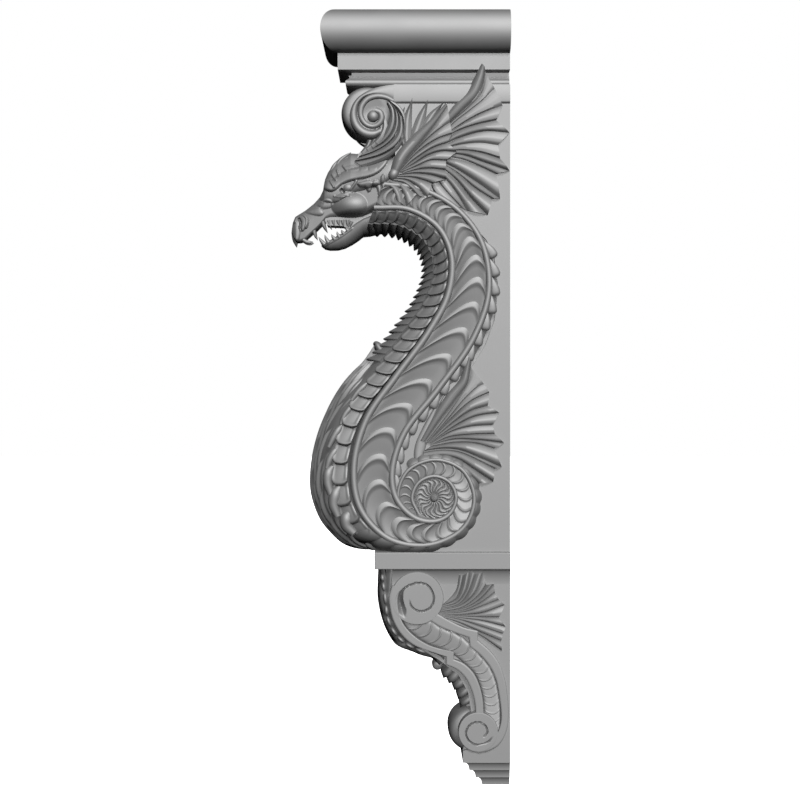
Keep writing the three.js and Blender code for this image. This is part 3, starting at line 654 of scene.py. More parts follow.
wingRays = [
    ([[-110, 528], [-91, 551], [-75, 573], [-57, 591], [-47, 609], [-37, 628]], 5),
    ([[-103, 524], [-80, 550], [-60, 569], [-43, 586], [-35, 605], [-33, 624]], 1.6),
    ([[-101, 523], [-77, 552], [-54, 572], [-37, 591], [-32, 615]], 1.2),
    ([[-98, 524], [-75, 550], [-52, 568], [-34, 582], [-20, 596]], 1.5),
    ([[-97, 523], [-71, 545], [-46, 560], [-27, 568], [-10, 574]], 2.5),
    ([[-96, 522], [-71, 540], [-46, 549], [-18, 555]], 3.2),
    ([[-94, 519], [-65, 533], [-33, 541], [-1, 539]], 2.5),
    ([[-93, 517], [-65, 524], [-39, 526], [-16, 523]], 1.5),
    ([[-93, 514], [-65, 517], [-39, 514], [-13, 506]], 4),
    ([[-93, 513], [-62, 511], [-33, 501], [-1, 490]], 2.5),
    ([[-93, 510], [-62, 505], [-39, 496], [-18, 486]], 4.5),
    ([[-93, 505], [-68, 492], [-39, 473], [-13, 454]], 2.5),
    ([[-93, 503], [-70, 489], [-46, 469], [-23, 454]], 4.5),
    ([[-93, 498], [-71, 480], [-50, 455], [-29, 433]], 4.5),
    ([[-94, 492], [-78, 474], [-65, 455], [-56, 439]], 2),
    ([[-98, 487], [-89, 472], [-78, 459], [-62, 442]], 2),
    ([[-103, 482], [-100, 467], [-92, 457], [-80, 449]], 0),
]
backRays = [
    ([[-116, 143], [-101, 172], [-82, 202], [-66, 221], [-60, 236], [-55, 252]], 4),
    ([[-110, 142], [-91, 169], [-71, 195], [-56, 216], [-53, 233], [-51, 248]], 1.4),
    ([[-109, 140], [-84, 172], [-65, 199], [-52, 221], [-50, 236]], 1.0),
    ([[-107, 140], [-80, 172], [-59, 197], [-42, 212], [-34, 216]], 1.5),
    ([[-106, 140], [-78, 170], [-52, 193], [-27, 205]], 3),
    ([[-105, 140], [-78, 163], [-52, 181], [-29, 188]], 3),
    ([[-103, 140], [-75, 160], [-46, 174], [-14, 179]], 3),
    ([[-103, 139], [-78, 154], [-52, 161], [-23, 163]], 2.0),
    ([[-102, 138], [-78, 148], [-52, 151], [-20, 152]], 3.5),
    ([[-102, 138], [-71, 145], [-39, 144], [-8, 140]], 2.5),
    ([[-102, 136], [-71, 141], [-46, 140], [-21, 133]], 4.5),
    ([[-111, 130], [-88, 133], [-65, 131], [-39, 121], [-11, 109]], 2.5),
    ([[-111, 128], [-87, 131], [-64, 128], [-39, 117], [-20, 107]], 4.5),
    ([[-111, 122], [-87, 124], [-68, 120], [-46, 106], [-22, 90]], 4.5),
    ([[-111, 117], [-87, 119], [-68, 111], [-52, 99], [-42, 88]], 0),
]

fins = {
    # how far each fin stands out to the side, from its root to its edge
    "wing": [42, 44, 45.5, 45.5],
    "ear": [49, 51, 53, 53],
    "back": [46, 46, 46.5, 46.5],
    "block": 30,
    "earRoot": (-150, 48, 485),
    "earRootRadii": (6.5, 7, 8),
    "backRoot": [
        [-82, 208, 1], [-98, 180, 3], [-110, 152, 6], [-116, 134, 7], [-118, 118, 5], [-112, 108, 2],
    ],
}


def makeFins():
    bm = bmesh.new()
    for side in bothSides:
        for rays, faces in ((wingRays, fins["wing"]), (earRays, fins["ear"]), (backRays, fins["back"])):
            addPleats(bm, rays, faces, fins["block"], side, spar=True)
        x, y, z = fins["earRoot"]
        addBall(bm, (x, side * y, z), fins["earRootRadii"], turn=0.5)
        addTube(bm, routeAt(fins["backRoot"], side * 42, deep=3), 40, 20)
    finishPiece(bm, "dragonFins", "dragon_carving", dragonPlace, primer)


makeFins()


# Leaf shapes, coils and relief drawn on a side

def closedLine(outline, count=90):
    knots = outline[-2:] + outline + outline[:2]
    n = len(knots) - 1
    return curveThrough(knots)(np.linspace(2 / n, 1 - 1 / n, count, endpoint=False))


def farFrom(x, z, route):
    # distance from each point to a broken line
    a, b = route[:-1], route[1:]
    p = np.stack([x, z], axis=1)[:, None, :]
    run = b - a
    t = np.clip(((p - a) * run).sum(-1) / np.maximum((run ** 2).sum(-1), 1e-9), 0, 1)
    gaps = np.linalg.norm(p - (a + t[..., None] * run), axis=-1)
    return gaps.min(axis=1), (t + np.arange(len(a)))[np.arange(len(x)), gaps.argmin(axis=1)] / len(a)


def insideOf(x, z, outline):
    # how deep each point lies inside a closed outline, 0 outside it
    ring = np.vstack([outline, outline[:1]])
    gap, _ = farFrom(x, z, ring)
    (x0, z0), (x1, z1) = ring[:-1].T, ring[1:].T
    crossing = (z0 > z[:, None]) != (z1 > z[:, None])
    reach = x0 + (z[:, None] - z0) * (x1 - x0) / np.where(z1 == z0, 1e-9, z1 - z0)
    odd = (crossing & (x[:, None] < reach)).sum(axis=1) % 2 == 1
    return np.where(odd, gap, 0)


def plateRise(x, z, plates):
    # raised plates: (outline, rise, width of the rounded edge)
    total = np.zeros(len(x))
    for outline, rise, edge in plates:
        deep = insideOf(x, z, closedLine(outline))
        total += rise * np.sqrt(1 - (1 - np.clip(deep / edge, 0, 1)) ** 2)
    return total


strokeSteps = 24


def strokeRise(x, z, strokes):
    # rounded ridges, or grooves where the rise is below 0: (line, half width, rise)
    total = np.zeros(len(x))
    for line, radius, rise in strokes:
        gap, _ = farFrom(x, z, curveThrough(line)(np.linspace(0, 1, strokeSteps)))
        total += rise * np.sqrt(1 - np.clip(gap / radius, 0, 1) ** 2)
    return total


head = {
    "rolls": (0.6, 0.14),    # shares of the height that turn over at the top and under at the foot
    "top": [
        [-284.2, 417.1], [-282.9, 427.6], [-279.6, 436.1], [-273, 440.3], [-265.1, 445.3], [-254.6, 453.8],
        [-246.8, 462.3], [-242.6, 470.9], [-240.2, 485.3], [-236.3, 494.5], [-229.7, 503.7], [-223.2, 509.6],
        [-215.3, 514.2], [-206.1, 519.4], [-198.2, 518.8], [-186.4, 520.7], [-168.1, 523.4], [-147.1, 526],
    ],
    "bottom": [
        [-283.2, 413], [-280.6, 405.2], [-277.3, 401.3], [-272.1, 401.3], [-266.9, 402.6], [-257.8, 411],
        [-250, 417.6], [-243.5, 424.1], [-239.6, 427.6], [-233, 429.7], [-213.5, 430.6], [-200.5, 431],
        [-190, 432.8], [-178.3, 438.4], [-167.9, 443], [-157.5, 444.3], [-147, 445.6],
    ],
    "halves": [
        [-284, 5], [-278, 9], [-265, 12], [-254, 14], [-244, 16], [-233, 18], [-220, 20], [-207, 23],
        [-191, 27], [-170, 31], [-147, 36],
    ],
    "plates": [
        # the crown of the head, and three plates under the brow
        ([[-244.3, 471.8], [-239.2, 468.6], [-232.7, 466], [-227.5, 466.6], [-223.6, 469.2], [-218.4, 473.8],
          [-211.9, 477], [-204.1, 479.2], [-193.7, 480.9], [-183.3, 482.8], [-173, 486.7], [-165.2, 492.6],
          [-157.4, 504.3], [-157, 530], [-200, 530], [-230, 520], [-250, 490]], 5, 4),
        ([[-214.4, 498], [-206.6, 500.6], [-198.8, 500.2], [-194.3, 496.1], [-196.3, 492.8], [-206.6, 492.2],
          [-213.1, 493.5]], 1.0, 5),
        ([[-194.3, 498.9], [-184.6, 498], [-183.3, 494.8], [-185.2, 492.2], [-193.7, 492.2]], 0.9, 5),
        ([[-182.6, 497.4], [-175.5, 497.1], [-171.6, 494.8], [-173.6, 491.5], [-182, 491.9]], 0.9, 5),
        # two snout scales, the ring of the nostril and the beak
        ([[-250, 450.8], [-244.8, 454.7], [-236.9, 456.9], [-231.7, 455.3], [-228.7, 450.8], [-231.7, 446.2],
          [-239.6, 444.7], [-246.1, 446.2]], 2.2, 5),
        ([[-265.8, 441.3], [-259.3, 445.3], [-251.4, 447.2], [-246.2, 446.2], [-241, 438.7], [-244.9, 435.9],
          [-254, 436.8], [-261.9, 439.4]], 2.4, 5),
        ([[-276.3, 435.6], [-272.4, 438.9], [-267.8, 438.9], [-263.3, 434.3], [-262, 429.1], [-263.3, 422.6],
          [-268.5, 416], [-272.4, 415.4], [-272.4, 422.6], [-272.4, 430.4]], 3.2, 5),
        ([[-283.1, 428.3], [-279.2, 434.2], [-275.3, 434.8], [-272.7, 430.9], [-272, 420.4], [-272.7, 409.9],
          [-275.3, 401.4], [-277.5, 395.2], [-279.9, 399.5], [-282.5, 409.9], [-284, 419.1]], 3.5, 6),
        # frills behind the eye and the cheek
        ([[-197.5, 475.6], [-189.7, 478.2], [-179.4, 478.8], [-174.2, 474.9], [-178.1, 471.1],
          [-179.4, 466.5], [-182.6, 464.6], [-185.2, 467.8], [-187.1, 470.4], [-193.6, 471.1]], 3.5, 3.5),
        ([[-175.4, 478.6], [-169, 477.3], [-166.4, 470.9], [-166.4, 465.7], [-169.6, 460.5], [-170.9, 465.7],
          [-172.9, 470.9], [-178, 470.9]], 3, 3),
        ([[-167, 482.3], [-163.1, 487.5], [-161.2, 481], [-159.9, 472], [-157.3, 467.5], [-163.1, 466.8],
          [-166.4, 473.3]], 3, 3),
        ([[-170.3, 457.8], [-166.4, 462.9], [-159.9, 466.2], [-153.5, 464.9], [-147, 466], [-147, 441],
          [-158.6, 444.8], [-166.4, 451.3]], 5, 4),
    ],
    "swells": [((-208, 449), (24, 17), 11)],    # the cheek
    "strokes": [
        # the brow and its spikes
        ([[-236.4, 468.2], [-228.7, 466.9], [-222.2, 469.7], [-214.4, 475.3], [-205.3, 480.1],
          [-192.4, 482.7], [-179.4, 485.7], [-169.0, 489.6], [-160.0, 497.4]], 15, 6.5),
        ([[-215.8, 500.4], [-211.3, 493.9]], 1.6, 2.4),
        ([[-223.7, 494.9], [-221.5, 487.1]], 1.6, 2.4),
        ([[-230.3, 489.3], [-225.7, 481.5]], 1.6, 2.4),
        ([[-232.5, 480.2], [-227.7, 471.7]], 1.6, 2.4),
        # round the eye
        ([[-198.2, 479.2], [-201.4, 474], [-206, 468.2]], 1.8, 2.6),
        ([[-227.5, 460.1], [-219.7, 458.2], [-211.9, 459.3], [-206.1, 460.1]], 1.3, 1.3),
        # the nostril and the slit in it, the pupil, and the gum
        ([[-279.7, 428.6], [-278.4, 434.5], [-273.8, 438.1], [-268.6, 438.4], [-264, 433.8], [-262.7, 428],
          [-264.6, 421.4]], 2.2, 2.2),
        ([[-274.4, 432.5], [-272.1, 428], [-272.5, 420.1], [-271.4, 416.2]], 1.8, -6),
        ([[-217.6, 467.5], [-215.6, 465.3]], 2.6, -6),
        ([[-239.5, 428.6], [-233, 431], [-213.4, 432], [-200.4, 432.6], [-190, 434.6]], 1.6, 1.2),
    ],
}
jaw = {
    "rolls": (0.2, 0.8),
    "top": [
        [-244.8, 398.7], [-240.9, 400.6], [-236.9, 403.9], [-229.1, 407.8], [-222.6, 412.3], [-216.1, 414.9],
        [-207, 422.1], [-199.2, 428], [-188.7, 433.8], [-174.4, 439.1], [-157.5, 440.4],
    ],
    "bottom": [
        [-245.4, 397.3], [-240.1, 392.9], [-233.6, 391.4], [-223.1, 391.6], [-213.9, 394], [-204.8, 398.6],
        [-196.9, 403.8], [-190.3, 409.1], [-181.2, 410.1], [-168, 413], [-157.6, 415.6],
    ],
    "halves": [[-245, 7], [-236, 12], [-225, 15], [-207, 19], [-191, 24], [-174, 28], [-158, 32]],
    "plates": [],
    "swells": [],
    "strokes": [([[-243, 396.5], [-232, 402], [-220, 408.5], [-205, 419]], 2.0, 1.0)],
}
teeth = [
    # root, tip, thickness at the root
    ([-243.1, 428.8], [-237.4, 416.1], 3.0), ([-254.6, 417.1], [-250.4, 406.2], 2.8),
    ([-235.1, 430], [-232, 420.6], 2.6), ([-229.2, 430], [-226.6, 422], 2.6),
    ([-222.7, 430], [-220.2, 422.4], 2.6), ([-216.8, 430], [-214.4, 421.8], 2.7),
    ([-210.3, 430], [-208.6, 420], 2.8), ([-204.7, 428], [-206.5, 420], 2.6),
    ([-240.3, 398.6], [-248.4, 408.8], 3.0), ([-235.1, 401], [-240.3, 411.4], 3.0),
    ([-226.6, 405], [-231.4, 411.8], 2.7), ([-220.7, 408], [-224.2, 415.4], 2.6),
    ([-214.8, 412], [-218.4, 417.6], 2.5), ([-209.6, 416], [-212.2, 421], 2.4),
]
tusk = [[-268.7, 405.4, 2.4], [-264.2, 402.5, 2.4], [-259, 401.8, 1.9], [-255.4, 402.6, 0.2]]
gum = [
    [-240, 430], [-237, 423.5], [-216, 422.5], [-209, 419], [-203, 420], [-196, 426], [-176, 436],
    [-168, 446], [-200, 442], [-238, 436],
]
beak = [[-276, 0, 425, 7, 9], [-278.5, 0, 415, 6, 8], [-279, 0, 405, 4, 5.5], [-277.6, 0, 396, 0.4, 0.5]]
crest = [
    [[-225.7, 500], [-220.4, 508.5], [-212.6, 515.1], [-206, 519.6]],
    [[-233.5, 490.8], [-228.3, 501.3], [-221.1, 511.5]],
    [[-216.4, 507.4], [-209.9, 512], [-198.1, 517.6]],
]


def addFace(bm, form, columns, rows):
    # both cheeks of a form given by its top and bottom lines and its half widths, with its relief
    top, bottom, halves = (np.array(form[key], float).T for key in ("top", "bottom", "halves"))
    left, right = top[0][0], top[0][-1]

    def place(u, v):
        x = left + (right - left) * u
        low, high = np.interp(x, *bottom), np.interp(x, *top)
        side = np.where(v < 0.5, 1.0, -1.0)
        up = np.where(v < 0.5, v * 2, 2 - v * 2)
        w = 0.6 * up + 0.4 * (0.5 - 0.5 * np.cos(math.pi * up))
        z = low + (high - low) * w
        over, under = form["rolls"]
        roll = np.sqrt(1 - np.clip((w - 1 + over) / over, 0, 1) ** 2)
        roll = roll * np.sqrt(1 - (1 - np.clip(w / under, 0, 1)) ** 2)
        relief = plateRise(x, z, form["plates"]) + strokeRise(x, z, form["strokes"])
        for (cx, cz), (wide, tall), rise in form["swells"]:
            relief = relief + rise * np.clip(1 - ((x - cx) / wide) ** 2 - ((z - cz) / tall) ** 2, 0, 1)
        y = np.interp(x, *halves) * roll + relief * np.sqrt(np.clip(roll, 0, 1))
        return np.stack([x, side * np.where(up <= 0, 0, np.where(up >= 1, 0, y)), z], axis=1)

    addSheet(bm, columns, rows, place)


def makeHead():
    bm = bmesh.new()
    addFace(bm, head, 190, 190)
    addFace(bm, jaw, 90, 64)
    for side in bothSides:
        for root, tip, thick in teeth:
            y = side * (np.interp(root[0], *np.array(head["halves"], float).T) - 4)
            middle = [(root[0] + tip[0]) / 2 - 0.6, (root[1] + tip[1]) / 2]
            addTube(bm, routeAt([[*root, thick], [*middle, 0.7 * thick], [*tip, 0.15]], y), 10, 12)
        addTube(bm, routeAt(tusk, side * 9), 16, 12)
        addBall(bm, (-208.8, side * 23, 471), (8.2, 7, 6.6))    # the eye
    addOutline(bm, gum, -15, 15, bevel=1.5)
    addTube(bm, beak, 24, 24)
    for line in crest:
        radii = np.interp(np.linspace(0, 1, len(line)), [0, 0.4, 1], [2.5, 3.2, 0.4])
        for y in (-8, 0, 8):
            addTube(bm, [[x, y, z, r, 1.6 * r] for (x, z), r in zip(line, radii)], 20, 14)
    finishPiece(bm, "dragonHead", "dragon_carving", dragonPlace, primer)


makeHead()


# The mane curls up from the brow into the scroll under the crown

maneLines = [
    # each strand's line, and how far the strand below it rises
    ([[-179.1, 521.4], [-167.6, 528.8], [-161.9, 540.4], [-157.5, 550.1], [-154.7, 560.1], [-155.5, 570],
      [-158.9, 577.9]], 4),
    ([[-188.2, 517.2], [-175.3, 521.7], [-163.3, 527.5], [-153.4, 537.8], [-149, 548.1], [-148.3, 559.7],
      [-150.2, 570], [-155.3, 577.7]], 5),
    ([[-195.9, 510.1], [-177.9, 515.3], [-165, 521], [-153.4, 529.4], [-146.1, 540.4], [-143.7, 553.2],
      [-145.7, 565.5], [-152.8, 576.4]], 5.5),
    ([[-201, 505], [-185.6, 506.9], [-170.1, 510.1], [-157.3, 515.3], [-145.7, 523.6], [-139.2, 533.9],
      [-138, 548.1], [-141.8, 562.2], [-150.2, 574.5]], 6),
    ([[-185.6, 494.7], [-169, 500.1], [-154.7, 507.1], [-144.6, 515.9], [-138, 526.8], [-134.1, 539.1],
      [-133.5, 553.2], [-136.7, 566.1], [-144.4, 575.8], [-156, 581.6]], 0),
]
maneLook = {"perCell": 10, "along": 64, "flute": 0.5, "bold": 1.1}
maneFaces = [27, 36, 42, 45, 46, 45]    # how far it stands out to the side, from the brow to the scroll
maneCore = [
    [-199, 505], [-196, 516], [-188, 524], [-181, 535], [-170, 545], [-150, 575], [-100, 577], [-100, 520],
    [-130, 470], [-170, 470],
]
shortLocks = [
    [[-190, 515], [-184, 522], [-181, 530], [-180, 540]],
    [[-184, 519], [-177, 526], [-173, 536], [-172, 548]],
    [[-178, 523], [-170, 531], [-166, 542], [-166, 554]],
    [[-172, 527], [-165, 536], [-161, 547], [-162, 560]],
]
featherLeaves = [
    [[-133, 524, 4], [-133.5, 540, 6], [-132, 558, 5], [-126, 583, 0.3]],
    [[-128, 524, 3.6], [-121, 541, 5.5], [-114, 560, 5], [-106, 581, 0.3]],
    [[-123, 524, 3.6], [-111, 544, 5.2], [-100, 562, 4.4], [-86, 578, 0.3]],
    [[-136, 520, 2.4], [-140, 536, 3.4], [-140.5, 556, 3], [-136, 572, 0.3]],
]
scroll = {
    "rollRadius": 34,
    "rollCentre": (-184.5, 569),
    "rollHalf": 36,
    "dish": 9,
    "knob": (-176.5, 41.5, 560.5),
    "knobRadii": (7.6, 6.5, 7.6),
    "outer": [
        [-140, 601], [-156, 600.5], [-174, 597], [-187, 591.5], [-198, 583], [-205, 571], [-206.5, 558],
        [-203, 547], [-196, 538.5], [-186, 533], [-176, 532.5], [-167, 537],
    ],
    "inner": [
        [-140, 577.5], [-150, 581.5], [-161, 586.5], [-174, 588.5], [-186, 585.5], [-194.5, 577],
        [-197, 565.5], [-194.5, 554], [-189, 547], [-181, 543.5], [-173, 544], [-167, 547],
    ],
    "coil": [
        [-150, 580, 2.6], [-160, 584.5, 3.2], [-172, 586, 3.6], [-184, 582, 3.8], [-191.5, 572, 3.8],
        [-192, 560, 3.6], [-186, 550.5, 3.4], [-177, 547.5, 3.2], [-169.5, 550.5, 3.6], [-165.5, 557.5, 4],
        [-167.5, 565, 4.2], [-174, 568, 4],
    ],
}


def addRoll(bm, centre, radius, half, bulge=0.22, dish=0):
    # a barrel lying across the bracket, its ends hollowed by dish
    def place(u, v):
        y = 2 * v - 1
        r = radius * (1 - bulge * y ** 4) * np.sqrt(np.clip(1 - np.abs(y) ** 16, 0, 1))
        turn = 2 * math.pi * u
        deep = y * half - dish * np.sign(y) * (1 - r / radius)
        return np.stack([centre[0] + r * np.cos(turn), deep, centre[1] + r * np.sin(turn)], axis=1)

    addSheet(bm, 72, 40, place)


def addScroll(bm, side):
    # the frieze runs on into the scroll, rounded across and narrowing, and a coil winds to the knob
    outer, inner = curveThrough(scroll["outer"]), curveThrough(scroll["inner"])

    def sweep(u, v):
        a, b = outer(v), inner(v)
        xz = a + (b - a) * u[:, None]
        bulge = np.interp(v, [0, 0.3, 1], [0.9, 3.2, 4.5]) * (1 - np.abs(2 * u - 1) ** 2.4)
        base = np.interp(v, [0, 0.25, 0.8, 1], [43.3, 42.2, 41, 38])
        return np.stack([xz[:, 0], side * (base + bulge), xz[:, 1]], axis=1)

    addSheet(bm, 16, 90, sweep, back=side * 20)
    faces = np.interp(np.linspace(0, 1, len(scroll["coil"])), [0, 0.5, 1], [44, 42.5, 43])
    addTube(bm, [[x, side * y, z, r, r] for (x, z, r), y in zip(scroll["coil"], faces)], 140, 18)
    x, y, z = scroll["knob"]
    addBall(bm, (x, side * y, z), scroll["knobRadii"])


def makeMane():
    bm = bmesh.new()
    addRoll(bm, scroll["rollCentre"], scroll["rollRadius"], scroll["rollHalf"], dish=scroll["dish"])
    addOutline(bm, maneCore, -20, 20)
    look = {**pleatLook, **maneLook}
    for side in bothSides:
        addPleats(bm, maneLines, maneFaces, 8, side, look=look)
        for k, line in enumerate(shortLocks):
            rows = [[x, z, r] for (x, z), r in zip(line, [3.5, 4.2, 3.6, 2.2])]
            addTube(bm, routeAt(rows, side * (27 + 3 * k)), 30, 20, flutes=5, fluteDepth=0.08)
        addScroll(bm, side)
        for line in featherLeaves:
            addTube(bm, routeAt(line, side * 42, deep=4), 36, 24, flutes=4, fluteDepth=0.1)
    finishPiece(bm, "dragonMane", "dragon_carving", dragonPlace, primer)


makeMane()


def makeFrieze():
    # the board's head: a gently rounded band under the crown
    bm = bmesh.new()
    low, high = drawnDragon - friezeHeight, drawnDragon
    for side in bothSides:
        def place(u, v):
            x = -150 * (1 - u)
            bulge = 0.9 * (1 - (2 * v - 1) ** 2)
            foot = 2 * np.clip(1 - v / 0.1, 0, 1) ** 2
            return np.stack([x, side * (44.2 + bulge - 0.8 * v - foot), low + (high - low) * v], axis=1)

        addSheet(bm, 4, 24, place, back=-side * 20)
    finishPiece(bm, "dragonFrieze", "dragon_carving", dragonPlace, primer)


makeFrieze()


# The rosette in the eye of the tail

rosette = {
    "radius": 26.5,
    "face": 43,
    "petals": 18,
    "petalRise": 2.6,
    "swirl": 0.9,
    "hub": 5,
}


def makeRosette():
    bm = bmesh.new()
    cx, cz = body["coilCentre"]
    for side in bothSides:
        def place(u, v):
            share, turn = v, 2 * math.pi * u
            r = rosette["radius"] * share
            phase = turn - rosette["swirl"] * (share + 0.35 * np.sin(2 * math.pi * share))
            wave = np.abs(np.sin(rosette["petals"] / 2 * phase)) ** 0.7
            full = np.clip(share * 3.2, 0, 1) * (1 - 0.15 * share)
            y = rosette["face"] + wave * rosette["petalRise"] * full - 1.5 * ease((share - 0.86) / 0.14)
            hub = rosette["hub"]
            y = y + 4.5 * np.sqrt(np.clip(1 - (r / hub) ** 2, 0, 1))
            return np.stack([cx + r * np.sin(turn), side * y, cz - r * np.cos(turn)], axis=1)

        addSheet(bm, 216, 30, place, back=side * 30)
    finishPiece(bm, "tailRosette", "dragon_carving", dragonPlace, primer)


makeRosette()


# The acanthus on the belly, and the leaf-shaped scutes down the back

belly = {
    "silhouette": [
        [-172, 268], [-188, 245], [-201, 232], [-214, 217], [-227, 197], [-237, 177], [-246, 155],
        [-253, 130], [-257, 104], [-257, 78], [-252, 57], [-243, 37], [-229, 20], [-214, 7],
        [-194, 0], [-172, 0],
    ],
    "edge": [
        [-152, 262], [-163, 240], [-174, 222], [-186, 204], [-198, 184], [-207, 164], [-216, 142],
        [-222, 118], [-224, 94], [-220, 74], [-213, 56], [-203, 40], [-192, 26], [-178, 14],
        [-160, 4], [-140, 0],
    ],
    "halfWidth": 36,
    "lobes": 9,
    "lobeRise": 11,
    "ribRise": 4,
    "nose": [
        [-160, 0, 250, 9, 21.6], [-168, 0, 262, 6.5, 15.6], [-174, 0, 269, 4, 9.6], [-177, 0, 268, 1, 2.4],
    ],
}
bellyTips = [
    # lobe tips that curl out beside the side plates
    [[-233.5, 134.7, 2.2], [-227.1, 147.6, 3.4], [-220.6, 157.9, 3.2], [-216.7, 163.1, 0.8]],
    [[-236.1, 107.5, 2.4], [-232.2, 119.2, 3.6], [-225.8, 129.5, 3.2], [-221.9, 134.7, 0.8]],
    [[-230.9, 73.9, 3.5], [-234.8, 89.4, 4.8], [-233.5, 102.4, 5], [-228.4, 110.1, 2]],
    [[-221.9, 45.5, 3.5], [-227.1, 61.0, 5.4], [-224.5, 75.2, 5.8], [-219.3, 84.3, 2.6]],
    [[-201.2, 23.6, 4], [-210.3, 33.9, 6], [-210.3, 44.2, 6.4], [-205.1, 52.0, 3]],
    [[-203.8, 195.4, 2], [-196.1, 205.7, 2.8], [-188.3, 213.4, 2.6], [-183.2, 218.6, 0.6]],
    [[-218.0, 164.4, 2], [-212.9, 176.0, 2.8], [-206.4, 185.0, 2.6], [-202.5, 191.5, 0.6]],
]


def makeBelly():
    bm = bmesh.new()
    nose, edge = curveThrough(belly["silhouette"]), curveThrough(belly["edge"])

    def place(u, v):
        angle = math.pi * (u - 0.5)
        out = np.cos(angle)[:, None]
        foot, tip = edge(v), nose(v)
        wide = belly["halfWidth"] * (0.25 + 0.75 * ease(v / 0.25))
        across = np.abs(np.sin(angle))
        phase = belly["lobes"] * (v + 0.26 * across)
        lobe = phase % 1.0
        fold = np.where(lobe < 0.16, ease(lobe / 0.16), np.cos(math.pi / 2 * (lobe - 0.16) / 0.84) ** 0.8)
        veins = 1.2 * np.sin(2 * math.pi * (3.2 * across + 1.2 * lobe)) * ease(across * 3)
        rib = belly["ribRise"] * np.exp(-(across / 0.1) ** 2)
        fade = ease(across * 4 - 0.2) * (1 - across ** 8)
        height = (belly["lobeRise"] * (fold - 1) + veins) * fade + rib - 1
        run = unit(tip - foot)
        spot = foot + (tip - foot) * out + run * (height * np.cos(angle))[:, None]
        y = (wide + height * across) * np.sin(angle)
        return np.stack([spot[:, 0], y, spot[:, 1]], axis=1)

    addSheet(bm, 130, 250, place)
    addTube(bm, belly["nose"], 24, 24)
    for side in bothSides:
        for tip in bellyTips:
            addTube(bm, routeAt([[x, z, 1.3 * r] for x, z, r in tip], side * 41), 20, 16)
    finishPiece(bm, "bellyLeaf", "dragon_carving", dragonPlace, primer)


makeBelly()


backScutes = {
    "spacing": 20.5,      # mm
    "length": 25,
    # each row: share of the length, distance from the rail, radius
    "form": [(0, 3.6, 0.3), (0.3, 5.2, 3.8), (0.62, 7, 6), (0.9, 8, 6.2), (1, 8.4, 4)],
    "slope": 15,          # how far the back falls away from the rail
    "face": 46,           # from the middle to a scute's root
    "spans": [(0.175, 0.318), (0.34, 0.6)],    # of the body's length, beside the inner rail
}


def makeBackScutes():
    bm = bmesh.new()
    long = backScutes["length"]
    for side in bothSides:
        for first, last in backScutes["spans"]:
            for s in walk(bodyLength * first, bodyLength * last, lambda s: backScutes["spacing"]):
                t = shareAt(np.array([s, s + 2]))
                rail, ahead = innerLine(t)
                along, away = unit(ahead - rail), unit(rail - outerLine(t[:1])[0])
                route = []
                for share, out, r in backScutes["form"]:
                    x, z = rail + along * long * share + away * out
                    route.append([x, side * (backScutes["face"] - 4 * share), z, r, 0.7 * r])
                addTube(bm, route, 18, 14, square=0.7)

        def slope(u, v):
            # the back falls from the rail to the board
            t = 0.14 + 0.48 * v
            rail = innerLine(t)
            away = unit(rail - outerLine(t))
            width = backScutes["slope"] * np.sin(math.pi * np.clip(v, 0.02, 0.98)) ** 0.5
            spot = rail + away * (width * u)[:, None]
            return np.stack([spot[:, 0], side * (47.5 - 9 * u ** 1.2), spot[:, 1]], axis=1)

        addSheet(bm, 8, 110, slope, back=side * 30)
    finishPiece(bm, "backScutes", "dragon_carving", dragonPlace, primer)


makeBackScutes()


# The console: two flat scrolls joined by bands, with scales between them

console = {
    "panel": 44,
    "floor": 38,
    "band": 49.6,
    "arris": 0.9,
    "groove": 1.3,
    "grooveDepth": 3.2,
    "flare": 5.8,
    "flareHeight": 22,
}
bandLines = [
    # outer line, inner line
    ([[-152.3, -21], [-156.1, -36.4], [-154.8, -49.2], [-151, -64.6], [-140.7, -82.6], [-126.6, -95.4],
      [-109.9, -103.1], [-90.6, -109.6], [-82.9, -112.1]],
     [[-139.4, -21], [-144.6, -36.4], [-143.3, -54.4], [-136.9, -71.1], [-124, -85.2], [-106, -96.7],
      [-90.6, -101.9], [-81, -103.8], [-72.7, -105.7]]),
    ([[-82.9, -112.1], [-82.9, -122.4]], [[-72.7, -105.7], [-72.7, -115.3]]),
    ([[-82.9, -122.4], [-68.8, -128.8], [-57.3, -140.4], [-49.6, -157.1], [-45.7, -173.7], [-45.1, -190.4]],
     [[-72.7, -115.3], [-59.8, -121.1], [-47, -133.9], [-39.3, -150.6], [-35.5, -167.3], [-34.2, -187.9]]),
    ([[-94.5, -56.3], [-77.8, -65.9], [-58.6, -74.9], [-41.9, -78.8]],
     [[-106, -64], [-90.6, -73.6], [-71.4, -81.3], [-53.4, -87.7]]),
    ([[-41.9, -78.8], [-41.9, -90.9]], [[-53.4, -87.7], [-52.1, -99.3]]),
    ([[-41.9, -90.9], [-26.5, -104.4], [-14.9, -119.8], [-7.2, -141.6], [-3.4, -167.3], [-2.7, -190.4],
      [-5.9, -209.7], [-14.9, -225.1], [-27.8, -232.8], [-41.9, -236]],
     [[-52.1, -99.3], [-39.3, -109.6], [-26.5, -125], [-18.8, -141.6], [-14.9, -160.9], [-12.3, -180.2],
      [-12.3, -195.6], [-17.5, -211], [-27.8, -221.2], [-41.9, -225.1]]),
]
